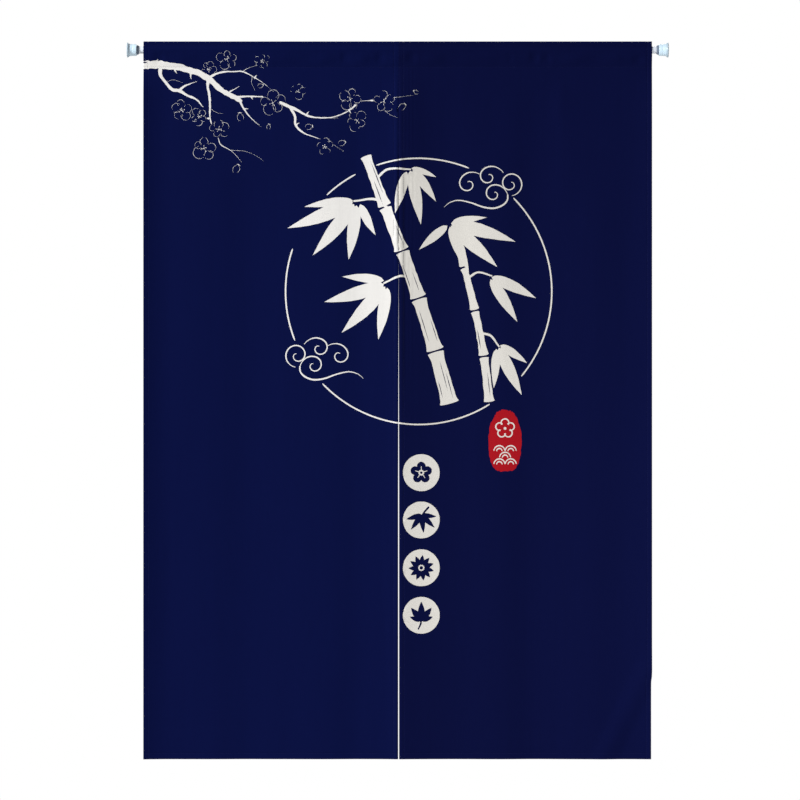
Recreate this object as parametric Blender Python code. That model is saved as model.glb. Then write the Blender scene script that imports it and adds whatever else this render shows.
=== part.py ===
"""Two-panel door curtain hung from a round tension rod with a foot at each end.

The origin is the centre of the left foot's flat outer face, on the rod's axis. +X runs along the rod
to the right foot, -Y is the printed front, +Z is up. Sizes are in millimetres and become metres when
a mesh is made.
"""

import math

import bmesh
import bpy
import numpy as np

MM = 0.001

# Rod and feet
SPAN = 905.0             # outer face to outer face of the two feet
ROD_RADIUS = 5.8
FIT = 0.3                # clearance between neighbouring pieces
FOOT_LENGTH = 16.0
FOOT_LIP_RADIUS = 12.3   # flared lip against the door frame
FOOT_BARREL_RADIUS = 9.8
SOCKET_FLOOR = 5.0       # how far the rod's socket stays from the outer face
COLLAR_LENGTH = 3.7
COLLAR_WIDE = 8.0        # radius beside the foot
COLLAR_NARROW = 6.9      # radius towards the cloth
ROUND_SIDES = 40

# Cloth
CLOTH_LEFT = 27.5        # edge of the cloth from the left foot's face
CLOTH_WIDTH = 850.0
CLOTH_TOP = 14.5         # top fold above the rod's axis
CLOTH_HEIGHT = 1200.0
THICKNESS = 1.2
HEM_LAYER = 0.8          # what a turned hem adds at the back
SIDE_HEM = 8.0
BOTTOM_HEM = 10.0
HEM_STEP = 0.8           # width of the step at a hem's inner edge

# Heading and rod pocket, as heights above the rod's axis
HEADING_SEAM = 8.3       # stitched just over the rod
POCKET_SEAM = -28.5      # stitched under the rod
POCKET_END = -30.0       # turned edge of the back layer
LAYER_GAP = 0.3          # between the front and the back layer

# Slit between the panels
SLIT_X = 454.0
SEWN_TO = -334.0         # the panels are sewn edge to edge down to here
OPEN_FROM = -736.0       # full width of the slit from here down
SLIT_WIDTH = 2.4
EDGE_ROLL = 1.2          # how far the slit's edges roll back
EDGE_ROLL_WIDTH = 5.0

# How the folds grow below the straight rod
FOLD_START = -14.0
FOLD_FULL = -90.0

# Folds of both panels. Centre is x at the top, lean its shift to the right over the whole drop,
# depth is away from the viewer, and top and bottom are heights.
FOLDS = [
    # centre, half_width, depth, lean, top, bottom
    (120.0, 75.0, -1.2, 18.0, -60.0, -1400.0),
    (215.0, 62.0, 1.4, -14.0, -160.0, -1400.0),
    (312.0, 70.0, -1.3, 10.0, -90.0, -1400.0),
    (392.0, 44.0, 1.2, -6.0, -60.0, -1400.0),
    (532.0, 56.0, 1.2, 12.0, -60.0, -1400.0),
    (608.0, 60.0, -1.6, 16.0, -120.0, -1400.0),
    (690.0, 60.0, 2.0, -10.0, -30.0, -1400.0),
    (724.0, 20.0, -1.5, 0.0, -24.0, -150.0),
    (790.0, 56.0, -1.8, -20.0, -200.0, -1400.0),
    (1381.0, 30.0, -2.6, -583.0, -960.0, -1400.0),
]
FOLD_FADE = 90.0         # a fold fades in and out over this height

# Upright edges and the seam stand towards the viewer and fall back over a reach on each side
CURLS = [
    # edge, reach to the left, reach to the right, height
    (CLOTH_LEFT, 46.0, 46.0, 5.0),
    (454.0, 34.0, 60.0, 3.5),
    (CLOTH_LEFT + CLOTH_WIDTH, 50.0, 50.0, 3.0),
]

# Puckers of the rod pocket's front. Bulges stand towards the viewer and troughs are below zero.
PUCKERS = [
    # centre, half_width, bulge
    (54.0, 18.0, -1.0),
    (95.0, 30.0, 0.8),
    (250.0, 50.0, 0.8),
    (330.0, 26.0, 1.1),
    (364.0, 16.0, -1.0),
    (393.0, 20.0, 1.2),
    (423.0, 16.0, -1.0),
    (449.0, 20.0, 1.0),
    (476.0, 18.0, -1.1),
    (512.0, 28.0, 1.2),
    (590.0, 50.0, 0.8),
    (690.0, 30.0, -1.2),
    (748.0, 34.0, 1.2),
    (815.0, 30.0, 1.1),
    (855.0, 16.0, -1.0),
]
PUCKER_HEIGHT = -15.0
PUCKER_REACH = 14.0

# The lower right corner is drawn in a little where the slanting fold meets the edge
CORNER_TUCK = 1.6
CORNER_TUCK_TOP = -1042.0
CORNER_TUCK_LENGTH = 24.0

# Mesh density of a panel
FIELD_COLUMNS = 25
BODY_ROWS = 20
ROD_WRAP_STEPS = 4

CLOTH_BOTTOM = CLOTH_TOP - CLOTH_HEIGHT
CLOTH_RIGHT = CLOTH_LEFT + CLOTH_WIDTH
HALF = THICKNESS / 2
LAYER_Y = HALF + LAYER_GAP / 2
WRAP_RADIUS = ROD_RADIUS + FIT + HALF

FINISHES = {
    # name: (colour, roughness, metallic)
    "woven_navy_left": ((0.004, 0.006, 0.056), 0.9, 0.0),
    "woven_navy_right": ((0.004, 0.005, 0.040), 0.9, 0.0),
    "white_enamel": ((0.78, 0.81, 0.86), 0.35, 0.0),
    "pale_blue_plastic": ((0.60, 0.78, 0.90), 0.3, 0.0),
    "slate_rubber": ((0.09, 0.11, 0.14), 0.6, 0.0),
}


def clear_scene():
    for item in list(bpy.data.objects):
        bpy.data.objects.remove(item, do_unlink=True)


def finish(name):
    colour, roughness, metallic = FINISHES[name]
    material = bpy.data.materials.new(name)
    material.use_nodes = True
    shader = material.node_tree.nodes["Principled BSDF"]
    shader.inputs["Base Color"].default_value = (*colour, 1.0)
    shader.inputs["Roughness"].default_value = roughness
    shader.inputs["Metallic"].default_value = metallic
    return material


def add_object(name, mesh, finish_name, parent):
    item = bpy.data.objects.new(name, mesh)
    mesh.materials.append(finish(finish_name))
    mesh.shade_smooth()
    mesh.set_sharp_from_angle(angle=math.radians(35))
    bpy.context.collection.objects.link(item)
    item.parent = parent
    return item


def smooth(value):
    """0 below 0, 1 above 1, and an S-curve between them."""
    t = np.clip(value, 0.0, 1.0)
    return t * t * (3.0 - 2.0 * t)


def bell(distance, half_width):
    """A raised cosine: 1 at the middle and 0 from half_width on."""
    t = np.clip(np.abs(distance) / half_width, 0.0, 1.0)
    return 0.5 + 0.5 * np.cos(math.pi * t)


def fold_depth(x, z):
    """How far the cloth lies behind its flat plane at x and height z."""
    drop = (CLOTH_TOP - z) / CLOTH_HEIGHT
    depth = np.zeros_like(x)
    for centre, half_width, amount, lean, top, bottom in FOLDS:
        fade = smooth((top - z) / FOLD_FADE) * smooth((z - bottom) / FOLD_FADE)
        depth = depth + amount * bell(x - centre - lean * drop, half_width) * fade
    for edge, reach_left, reach_right, height in CURLS:
        reach = np.where(x < edge, reach_left, reach_right)
        depth = depth - height * np.clip(1.0 - np.abs(x - edge) / reach, 0.0, 1.0) ** 2
    return depth * smooth((FOLD_START - z) / (FOLD_START - FOLD_FULL))


def pucker_bulge(x, z):
    """How far the pocket's front layer bulges towards the viewer."""
    bulge = np.zeros_like(x)
    for centre, half_width, amount in PUCKERS:
        bulge = bulge + amount * bell(x - centre, half_width)
    return bulge * bell(z - PUCKER_HEIGHT, PUCKER_REACH)


def slit_gap(z):
    """Width between the panels: a seam's gap at the top, growing to the open slit."""
    opening = np.clip((SEWN_TO - z) / (SEWN_TO - OPEN_FROM), 0.0, 1.0)
    return FIT + (SLIT_WIDTH - FIT) * opening


def touch_angle(height):
    """Angle round the rod's front, from level, where a straight line from a seam at this distance
    above or below the axis touches the cloth's wrap."""
    reach = math.hypot(LAYER_Y, height)
    return math.atan2(height, LAYER_Y) - math.acos(WRAP_RADIUS / reach)


def front_path():
    """Mid-line (y, z) of the front layer from the pocket seam up to the top fold: straight to the
    rod, round it, straight to the heading seam, and up to the fold."""
    high = touch_angle(HEADING_SEAM)
    low = -touch_angle(-POCKET_SEAM)
    wrap_z = WRAP_RADIUS * math.sin(low)
    wrap_y = WRAP_RADIUS * math.cos(low)
    path = []
    for share in (0.0, 0.25, 0.5, 0.75):
        path.append((-(LAYER_Y + (wrap_y - LAYER_Y) * share), POCKET_SEAM + (wrap_z - POCKET_SEAM) * share))
    for step in range(ROD_WRAP_STEPS + 1):
        angle = low + (high - low) * step / ROD_WRAP_STEPS
        path.append((-WRAP_RADIUS * math.cos(angle), WRAP_RADIUS * math.sin(angle)))
    path.append((-LAYER_Y, HEADING_SEAM))
    crown = CLOTH_TOP - LAYER_Y - HALF
    path.append((-LAYER_Y, crown))
    path.append((-LAYER_Y / 2, crown + LAYER_Y * math.sin(math.radians(60))))
    return path


def cloth_path():
    """The whole mid-line, from the bottom edge up the front, over the top and down the back."""
    hem_top = CLOTH_BOTTOM + BOTTOM_HEM
    body_top = POCKET_END - 3.0
    body = [CLOTH_BOTTOM, hem_top, hem_top + HEM_STEP]
    body += list(np.linspace(hem_top, body_top, BODY_ROWS + 1)[1:])
    body.append(body_top + HEM_STEP)
    front = front_path()
    back = [(-y, z) for y, z in reversed(front)]
    path = [(-LAYER_Y, z) for z in body] + front + back + [(LAYER_Y, POCKET_END)]
    return np.array(path), len(body)


def outward(path):
    """Unit normals of the mid-line on the cloth's outer side, lengthened at bends."""
    along = np.diff(path, axis=0)
    along /= np.linalg.norm(along, axis=1)[:, None]
    before = np.vstack([along[:1], along])
    after = np.vstack([along, along[-1:]])
    side_before = np.stack([-before[:, 1], before[:, 0]], axis=1)
    side_after = np.stack([-after[:, 1], after[:, 0]], axis=1)
    middle = side_before + side_after
    middle /= np.linalg.norm(middle, axis=1)[:, None]
    return middle / np.sum(middle * side_before, axis=1)[:, None]


def column_shares(width):
    """Places of the columns across a panel, from 0 to 1, with both side hems' steps."""
    edge = [0.0, EDGE_ROLL_WIDTH, SIDE_HEM, SIDE_HEM + HEM_STEP]
    field = np.linspace(edge[-1], width - edge[-1], FIELD_COLUMNS + 1)[1:-1]
    places = np.concatenate([edge, field, width - np.array(edge[::-1])])
    return places / width


def panel_mesh(name, left, right):
    """A closed sheet between the edges left(z) and right(z): an outer and an inner skin on one
    grid, joined round their four borders."""
    path, body_rows = cloth_path()
    normals = outward(path)
    rows = len(path)
    z_line = path[:, 1]
    shares = column_shares(right(CLOTH_TOP) - left(CLOTH_TOP))
    columns = len(shares)

    z = np.repeat(z_line[:, None], columns, axis=1)
    x = left(z) + (right(z) - left(z)) * shares[None, :]
    y = path[:, :1] + fold_depth(x, z)
    slit_distance = np.abs(x - SLIT_X)
    hang = smooth((FOLD_START - z) / (FOLD_START - FOLD_FULL))
    y = y + EDGE_ROLL * np.clip(1.0 - slit_distance / EDGE_ROLL_WIDTH, 0.0, 1.0) ** 2 * hang
    in_front = (np.arange(rows) < rows // 2 + body_rows // 2)[:, None]
    y = y - pucker_bulge(x, z) * in_front

    # Hems are thicker at the back, below the pocket.
    from_edge = np.minimum(shares, 1.0 - shares) * (right(CLOTH_TOP) - left(CLOTH_TOP))
    side = (from_edge <= SIDE_HEM + 0.01)[None, :]
    bottom = (z_line <= CLOTH_BOTTOM + BOTTOM_HEM + 0.01)[:, None]
    below_pocket = (np.arange(rows) < body_rows - 1)[:, None]
    hem = (side | bottom) & below_pocket

    outer_y = y + HALF * normals[:, :1]
    outer_z = z + HALF * normals[:, 1:]
    depth = HALF + HEM_LAYER * hem
    inner_y = y - depth * normals[:, :1]
    inner_z = z - depth * normals[:, 1:]
    outer = np.stack([x, outer_y, outer_z], axis=2).reshape(-1, 3)
    inner = np.stack([x, inner_y, inner_z], axis=2).reshape(-1, 3)

    index = np.arange(rows * columns).reshape(rows, columns)
    faces = quads(index) + [face[::-1] for face in quads(index + rows * columns)]
    border = np.concatenate([index[0], index[1:, -1], index[-1, -2::-1], index[-2:0:-1, 0]])
    for here, there in zip(border, np.roll(border, -1)):
        faces.append([there, here, here + rows * columns, there + rows * columns])

    mesh = bpy.data.meshes.new(name)
    mesh.from_pydata((np.vstack([outer, inner]) * MM).tolist(), [], faces)
    mesh.validate()
    return mesh


def quads(index):
    """Four-sided faces of a grid of vertex numbers, facing the outer side."""
    corners = (index[:-1, :-1], index[:-1, 1:], index[1:, 1:], index[1:, :-1])
    return np.stack(corners, axis=2).reshape(-1, 4).tolist()


def turned_mesh(name, profile):
    """A solid turned about the X axis from (x, radius) points, closed at its ends."""
    body = bmesh.new()
    points = [body.verts.new((x * MM, 0.0, radius * MM)) for x, radius in profile]
    edges = [body.edges.new(pair) for pair in zip(points, points[1:])]
    if profile[0][1] > 0.0:
        edges.append(body.edges.new((points[-1], points[0])))
    bmesh.ops.spin(
        body,
        geom=points + edges,
        cent=(0.0, 0.0, 0.0),
        axis=(1.0, 0.0, 0.0),
        angle=math.tau,
        steps=ROUND_SIDES,
        use_merge=True,
    )
    bmesh.ops.remove_doubles(body, verts=body.verts, dist=0.01 * MM)
    bmesh.ops.recalc_face_normals(body, faces=body.faces)
    mesh = bpy.data.meshes.new(name)
    body.to_mesh(mesh)
    body.free()
    return mesh


def foot_mesh(name):
    """A cup with a flared lip and a flat outer face, open towards the rod."""
    bore = ROD_RADIUS + FIT
    return turned_mesh(name, [
        (0.0, 0.0),
        (0.0, FOOT_LIP_RADIUS - 0.5),
        (0.5, FOOT_LIP_RADIUS),
        (1.6, FOOT_LIP_RADIUS),
        (2.8, FOOT_LIP_RADIUS - 1.1),
        (4.6, FOOT_BARREL_RADIUS + 0.3),
        (7.0, FOOT_BARREL_RADIUS),
        (FOOT_LENGTH - 0.8, FOOT_BARREL_RADIUS - 0.3),
        (FOOT_LENGTH, FOOT_BARREL_RADIUS - 1.1),
        (FOOT_LENGTH, bore),
        (SOCKET_FLOOR, bore),
        (SOCKET_FLOOR, 0.0),
    ])


def collar_mesh(name):
    """A ring round the rod that narrows away from the foot."""
    bore = ROD_RADIUS + FIT
    start = FOOT_LENGTH + FIT
    return turned_mesh(name, [
        (start, bore),
        (start, COLLAR_WIDE - 0.4),
        (start + 0.4, COLLAR_WIDE),
        (start + COLLAR_LENGTH - 0.3, COLLAR_NARROW),
        (start + COLLAR_LENGTH, COLLAR_NARROW - 0.3),
        (start + COLLAR_LENGTH, bore),
    ])


def rod_mesh(name):
    """The plain rod, seated in both feet."""
    start = SOCKET_FLOOR + FIT
    end = SPAN - start
    return turned_mesh(name, [
        (start, 0.0),
        (start, ROD_RADIUS),
        (end, ROD_RADIUS),
        (end, 0.0),
    ])


def slit_left_edge(z):
    return SLIT_X - slit_gap(z) / 2


def slit_right_edge(z):
    return SLIT_X + slit_gap(z) / 2


def cloth_left_edge(z):
    return np.full_like(z, CLOTH_LEFT)


def cloth_right_edge(z):
    return CLOTH_RIGHT - CORNER_TUCK * smooth((CORNER_TUCK_TOP - z) / CORNER_TUCK_LENGTH)


def main():
    clear_scene()
    hanger = bpy.data.objects.new("hanger", None)
    bpy.context.collection.objects.link(hanger)

    add_object("rod", rod_mesh("rod"), "white_enamel", hanger)
    foot = foot_mesh("foot")
    collar = collar_mesh("collar")
    for side, place, turn in (("left", 0.0, 0.0), ("right", SPAN * MM, math.pi)):
        for kind, mesh, look in (
            ("foot", foot, "pale_blue_plastic"),
            ("collar", collar, "slate_rubber"),
        ):
            piece = add_object(f"{kind}_{side}", mesh.copy(), look, hanger)
            piece.location.x = place
            piece.rotation_euler.z = turn

    left = panel_mesh("panel_left", cloth_left_edge, slit_left_edge)
    right = panel_mesh("panel_right", slit_right_edge, cloth_right_edge)
    add_object("panel_left", left, "woven_navy_left", hanger)
    add_object("panel_right", right, "woven_navy_right", hanger)


main()
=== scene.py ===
# Door curtain on its tension rod: the looks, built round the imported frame.
# Lengths are in millimetres in the frame's axes and become metres when a mesh is made.
import math

import bpy
import numpy as np
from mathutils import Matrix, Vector
from mathutils.geometry import delaunay_2d_cdt


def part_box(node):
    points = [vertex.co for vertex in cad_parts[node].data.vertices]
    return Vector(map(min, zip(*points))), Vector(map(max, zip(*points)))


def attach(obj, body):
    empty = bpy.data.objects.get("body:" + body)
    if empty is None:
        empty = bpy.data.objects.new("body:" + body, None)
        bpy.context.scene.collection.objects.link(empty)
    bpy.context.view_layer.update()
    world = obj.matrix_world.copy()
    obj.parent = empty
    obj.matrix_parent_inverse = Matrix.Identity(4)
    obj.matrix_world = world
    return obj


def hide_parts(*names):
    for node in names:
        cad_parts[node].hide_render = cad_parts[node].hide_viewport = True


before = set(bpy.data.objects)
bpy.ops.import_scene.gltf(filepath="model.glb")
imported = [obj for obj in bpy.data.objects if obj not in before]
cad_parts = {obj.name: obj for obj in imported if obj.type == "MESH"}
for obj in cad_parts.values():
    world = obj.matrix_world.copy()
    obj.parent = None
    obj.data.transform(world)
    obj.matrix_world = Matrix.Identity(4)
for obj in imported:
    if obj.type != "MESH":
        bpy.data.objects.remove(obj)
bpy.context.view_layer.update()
mm = 0.001


def nodeBox(name):
    low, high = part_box(name)
    return np.array(low) / mm, np.array(high) / mm


def smoothStep(value):  # 0 below 0, 1 above 1, and an S between them
    t = np.clip(value, 0.0, 1.0)
    return t * t * (3.0 - 2.0 * t)


def bell(distance, halfWidth):  # raised cosine: 1 in the middle and 0 from halfWidth on
    return 0.5 + 0.5 * np.cos(math.pi * np.clip(np.abs(distance) / halfWidth, 0.0, 1.0))


def hexToLinear(code):  # sRGB hex to the linear colour that a shader wants
    parts = np.array([int(code[i:i + 2], 16) for i in (1, 3, 5)]) / 255
    linear = np.where(parts <= 0.04045, parts / 12.92, ((parts + 0.055) / 1.055) ** 2.4)
    return (*[float(part) for part in linear], 1.0)


def addNode(tree, kind, settings=None, links=None):
    # Settings go to a socket of that name or number, or else to the node itself.
    node = tree.nodes.new(kind)
    for name, value in (settings or {}).items():
        if isinstance(name, int) or name in node.inputs:
            node.inputs[name].default_value = value
        else:
            setattr(node, name, value)
    for name, (source, output) in (links or {}).items():
        tree.links.new(source.outputs[output], node.inputs[name])
    return node


def addMath(tree, operation, *inputs):
    # Each input is a number or, like what this returns, a node and the output that gives the number.
    node = addNode(tree, "ShaderNodeMath", {"operation": operation})
    for socket, value in zip(node.inputs, inputs):
        if isinstance(value, tuple):
            tree.links.new(value[0].outputs[value[1]], socket)
        else:
            socket.default_value = value
    return node, 0


def aroundOne(tree, value, amount):  # 1 + amount * (value - 0.5)
    return addMath(tree, "MULTIPLY_ADD", value, amount, 1.0 - amount / 2)


def scaledColour(tree, colour, factor):
    node = addNode(tree, "ShaderNodeVectorMath", {
        "operation": "SCALE", 0: hexToLinear(colour)[:3],
    }, {"Scale": factor})
    return node, 0


def newMaterial(name):
    material = bpy.data.materials.new(name)
    material.use_nodes = True
    material.node_tree.nodes.clear()
    return material, material.node_tree


def finishSurface(tree, tint, relief, bump, surface):
    # Ends a material: relief as a bump on a shader of that colour, into the output.
    raised = addNode(tree, "ShaderNodeBump", bump, {"Height": relief})
    shader = addNode(tree, "ShaderNodeBsdfPrincipled", surface, {
        "Base Color": tint, "Normal": (raised, 0),
    })
    addNode(tree, "ShaderNodeOutputMaterial", None, {"Surface": (shader, 0)})


def makePiece(name, points, faces, materials, slots=None):
    mesh = bpy.data.meshes.new(name)
    mesh.from_pydata((np.asarray(points) * mm).tolist(), [], faces)
    for material in materials:
        mesh.materials.append(material)
    if slots is not None:
        mesh.polygons.foreach_set("material_index", np.asarray(slots, np.int32))
    mesh.polygons.foreach_set("use_smooth", np.ones(len(mesh.polygons), bool))
    piece = bpy.data.objects.new(name, mesh)
    bpy.context.collection.objects.link(piece)
    return piece


studio = {
    "widthInView": 1337.5,      # what the picture shows across, at the cloth
    "aim": (456.3, -585.1),     # x and z in the middle of the picture
    "lens": 160.0,
    "sensor": 36.0,
    "floorDrop": 715.0,         # from the cloth's lower edge to the floor
    "floorRadius": 1500.0,
    # soft boxes: place and aim in metres, size, watts
    "lights": {
        "keyLight": ((-6.3, -3.5, 2.2), (0.45, 0.0, -0.6), 1.8, 950.0),
        "fillLight": ((1.5, -0.8, -0.85), (0.85, 0.0, -0.75), 0.6, 6.3),
        "rearLight": ((2.0, 3.8, 1.0), (0.45, 0.0, -0.6), 2.2, 78.0),
    },
    "roomBelow": 0.28,          # strength of the room's light from straight below and above
    "roomAbove": 0.34,
}


def addCamera():
    data = bpy.data.cameras.new("frontCamera")
    data.lens = studio["lens"]
    data.sensor_width = studio["sensor"]
    data.clip_end = 60.0
    camera = bpy.data.objects.new("frontCamera", data)
    bpy.context.collection.objects.link(camera)
    distance = studio["widthInView"] * studio["lens"] / studio["sensor"]
    x, z = studio["aim"]
    camera.location = Vector((x, -distance, z)) * mm
    camera.rotation_euler = (math.pi / 2, 0.0, 0.0)
    bpy.context.scene.camera = camera


def addSoftboxes():
    for name, (place, aim, size, watts) in studio["lights"].items():
        data = bpy.data.lights.new(name, "AREA")
        data.shape = "SQUARE"
        data.size = size
        data.energy = watts
        light = bpy.data.objects.new(name, data)
        bpy.context.collection.objects.link(light)
        light.location = place
        light.rotation_euler = (Vector(aim) - Vector(place)).to_track_quat("-Z", "Y").to_euler()
        light.visible_camera = False


def addWorld():  # white paper behind the curtain, in a room that is brighter overhead than below
    world = bpy.data.worlds.new("studioRoom")
    bpy.context.scene.world = world
    world.use_nodes = True
    tree = world.node_tree
    tree.nodes.clear()
    place = addNode(tree, "ShaderNodeTexCoord")
    parts = addNode(tree, "ShaderNodeSeparateXYZ", None, {0: (place, "Generated")})
    height = addNode(tree, "ShaderNodeMapRange", {
        "From Min": -1.0, "From Max": 1.0, "To Min": studio["roomBelow"], "To Max": studio["roomAbove"],
    }, {"Value": (parts, "Z")})
    white = (1.0, 1.0, 1.0, 1.0)
    room = addNode(tree, "ShaderNodeBackground", {"Color": white}, {"Strength": (height, "Result")})
    paper = addNode(tree, "ShaderNodeBackground", {"Color": white, "Strength": 1.0})
    path = addNode(tree, "ShaderNodeLightPath")
    both = addNode(tree, "ShaderNodeMixShader", None, {
        0: (path, "Is Camera Ray"), 1: (room, 0), 2: (paper, 0),
    })
    addNode(tree, "ShaderNodeOutputWorld", None, {"Surface": (both, 0)})


addCamera()
addSoftboxes()
addWorld()
bpy.context.scene.view_settings.view_transform = "Standard"
print("camera and lights placed")

leftLow, leftHigh = nodeBox("panel_left")
rightLow, rightHigh = nodeBox("panel_right")
rodLow, rodHigh = nodeBox("rod")

cloth = {
    "left": leftLow[0],
    "right": rightHigh[0],
    "top": leftHigh[2],
    "bottom": leftLow[2],
    "slitX": (leftHigh[0] + rightLow[0]) / 2,
    "thickness": 0.9,           # cotton and linen of 200 g a square metre, with its fuzz
    "hemLayer": 0.8,            # what a turned hem adds at the back, and the step where it ends
    "hemStepFrom": 0.3,
    "hemStep": 0.5,
    "hemStart": 1.5,            # it grows over this height, under the pocket
    "sideHem": 8.0,
    "bottomHem": 10.0,
    "headingSeam": 8.3,         # stitched lines, as distances over and under the rod's axis
    "pocketSeam": 28.5,
    "pocketEnd": -30.0,         # turned edge of the back layer
    "layerY": 0.75,             # each layer's middle from the plane between the two
    "rodRadius": (rodHigh[2] - rodLow[2]) / 2,
    "rodClearance": 0.3,
    "sewnTo": -334.0,           # the panels are sewn edge to edge down to here
    "openFrom": -736.0,         # and from here down the slit has its full width
    "slitWidth": 1.6,           # the edges' fuzz takes the rest of the gap
    "slitOnset": 1.35,          # over 1: the slit opens slowly at first
    "sewnOverlap": 0.03,        # how far each sewn edge presses past the seam's middle
    "edgeRoll": 1.2,
    "edgeRollWidth": 5.0,
    "seamRoll": 1.1,            # how much deeper the sewn edges roll back into the seam
    "seamFlatTo": -140.0,       # near the rod the seam lies flat, and from here it deepens
    "seamFullFrom": -250.0,
    "seamFade": 16.0,           # it ends over this height, where the slit begins
    # how deep each line of stitches pulls the good side in, and half the dent's width
    "headingDent": (0.16, 0.9),
    "pocketDent": (0.16, 1.0),
    "hemDent": (0.26, 0.8),
    # fine upright ripples beside the right panel's seam: height, spacing, place of a crest, middle and
    # reach of their band, and the heights where it begins and ends, each with how far it takes
    "ripple": 0.09,
    "rippleSpacing": 6.4,
    "rippleCrest": 9.0,
    "rippleMiddle": 20.0,
    "rippleReach": 15.0,
    "rippleTop": (-10.0, 30.0),
    "rippleEnd": (-680.0, 260.0),
    "turnedEdge": 0.42,         # radius of a turned edge
    "foldStart": -14.0,
    "foldFull": -90.0,
    "foldFade": 90.0,
    "tuck": 1.6,                # how far the lower right corner is drawn in
    "tuckTop": -1042.0,
    "tuckLength": 16.0,
}

# Folds: x at the top, half width, depth away from the viewer, shift to the right over the whole drop,
# and the heights where each begins and ends, which is under the cloth for those that run right down.
# The last is the slanting crease over the lower right corner: its line starts beside the cloth.
folds = [
    (120.0, 75.0, -1.2, 18.0, -60.0, -1400.0),
    (215.0, 62.0, 1.4, -14.0, -160.0, -1400.0),
    (312.0, 70.0, -1.3, 10.0, -90.0, -1400.0),
    (392.0, 44.0, 1.2, -6.0, -60.0, -1400.0),
    (532.0, 56.0, 1.2, 12.0, -60.0, -1400.0),
    (608.0, 60.0, -1.6, 16.0, -120.0, -1400.0),
    (690.0, 60.0, 2.0, -10.0, -30.0, -1400.0),
    (724.0, 20.0, -1.5, 0.0, -24.0, -150.0),
    (790.0, 56.0, -1.8, -20.0, -200.0, -1400.0),
    (1381.0, 30.0, -2.6, -583.0, -960.0, -1400.0),
]

# Upright edges and the seam stand towards the viewer: edge, reach to its left and right, height.
curls = [
    (cloth["left"], 46.0, 46.0, 5.0),
    (cloth["slitX"], 34.0, 60.0, 3.5),
    (cloth["right"], 50.0, 50.0, 3.0),
]

# Puckers of the rod pocket's front: centre, half width, bulge towards the viewer, height, reach.
puckers = [
    (54.0, 12.0, -1.1, -15.0, 14.0),
    (95.0, 30.0, 0.8, -15.0, 14.0),
    (150.0, 9.0, -0.4, -13.0, 14.0),
    (250.0, 50.0, 0.8, -15.0, 14.0),
    (330.0, 26.0, 1.1, -15.0, 14.0),
    (364.0, 11.0, -1.2, -13.0, 15.0),
    (393.0, 20.0, 1.2, -15.0, 14.0),
    (423.0, 11.0, -1.2, -13.0, 15.0),
    (449.0, 20.0, 1.0, -15.0, 14.0),
    (476.0, 13.0, -1.3, -13.0, 15.0),
    (512.0, 28.0, 1.2, -15.0, 14.0),
    (590.0, 50.0, 0.8, -15.0, 14.0),
    (640.0, 9.0, -0.4, -14.0, 14.0),
    (681.0, 11.0, -1.2, -13.0, 15.0),
    (702.0, 12.0, -1.1, -14.0, 15.0),
    (748.0, 34.0, 1.2, -15.0, 14.0),
    (815.0, 30.0, 1.1, -15.0, 14.0),
    (855.0, 13.0, -1.2, -17.0, 13.0),
]


def clothPath():
    # Mid-line of the cloth as y and z over its own length, which is 0 at the top fold, grows down
    # the front and falls down the back: half circle, flat heading, straight to the rod, arc round
    # it, straight to the pocket's seam, straight down.
    half = cloth["thickness"] / 2
    layer = cloth["layerY"]
    wrap = cloth["rodRadius"] + cloth["rodClearance"] + half
    touch = []
    for seam in (cloth["headingSeam"], cloth["pocketSeam"]):
        touch.append(math.atan2(seam, layer) - math.acos(wrap / math.hypot(layer, seam)))
    crown = cloth["top"] - layer - half
    turn = np.linspace(0.0, math.pi / 2, 12)
    arc = np.linspace(touch[0], -touch[1], 60)
    y = np.concatenate([-layer * np.sin(turn), [-layer], -wrap * np.cos(arc), [-layer, -layer]])
    z = np.concatenate([
        crown + layer * np.cos(turn), [cloth["headingSeam"]], wrap * np.sin(arc),
        [-cloth["pocketSeam"], cloth["bottom"]],
    ])
    length = np.concatenate([[0.0], np.cumsum(np.hypot(np.diff(y), np.diff(z)))])
    backLength = float(np.interp(-cloth["pocketEnd"], -z, length))
    along = np.linspace(-backLength, length[-1], 12600)     # about ten points a millimetre
    yLine = np.interp(np.abs(along), length, y) * np.where(along < 0.0, -1.0, 1.0)
    zLine = np.interp(np.abs(along), length, z)
    # The bends at both seams are eased over a millimetre or so.
    kernel = np.hanning(25)
    eased = np.convolve(np.pad(yLine, 12, mode="edge"), kernel / kernel.sum(), mode="valid")
    nearSeam = np.maximum(bell(zLine - cloth["headingSeam"], 3.0), bell(zLine + cloth["pocketSeam"], 4.0))
    return along, yLine + (eased - yLine) * nearSeam, zLine


pathS, pathY, pathZ = clothPath()
pathStart, pathEnd = pathS[0], pathS[-1]
pathSlope = np.hypot(np.gradient(pathY, pathS), np.gradient(pathZ, pathS))
normalY = np.gradient(pathZ, pathS) / pathSlope     # points away from the rod, out of the good side
normalZ = -np.gradient(pathY, pathS) / pathSlope


def lengthAtDrop(drop):  # place along the cloth for a drop below its top, on the front
    front = pathS >= 0.0
    return np.interp(drop, cloth["top"] - pathZ[front], pathS[front])


def hangAt(z):  # 0 at the straight rod, growing to 1 where the cloth hangs free
    return smoothStep((cloth["foldStart"] - z) / (cloth["foldStart"] - cloth["foldFull"]))


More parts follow.
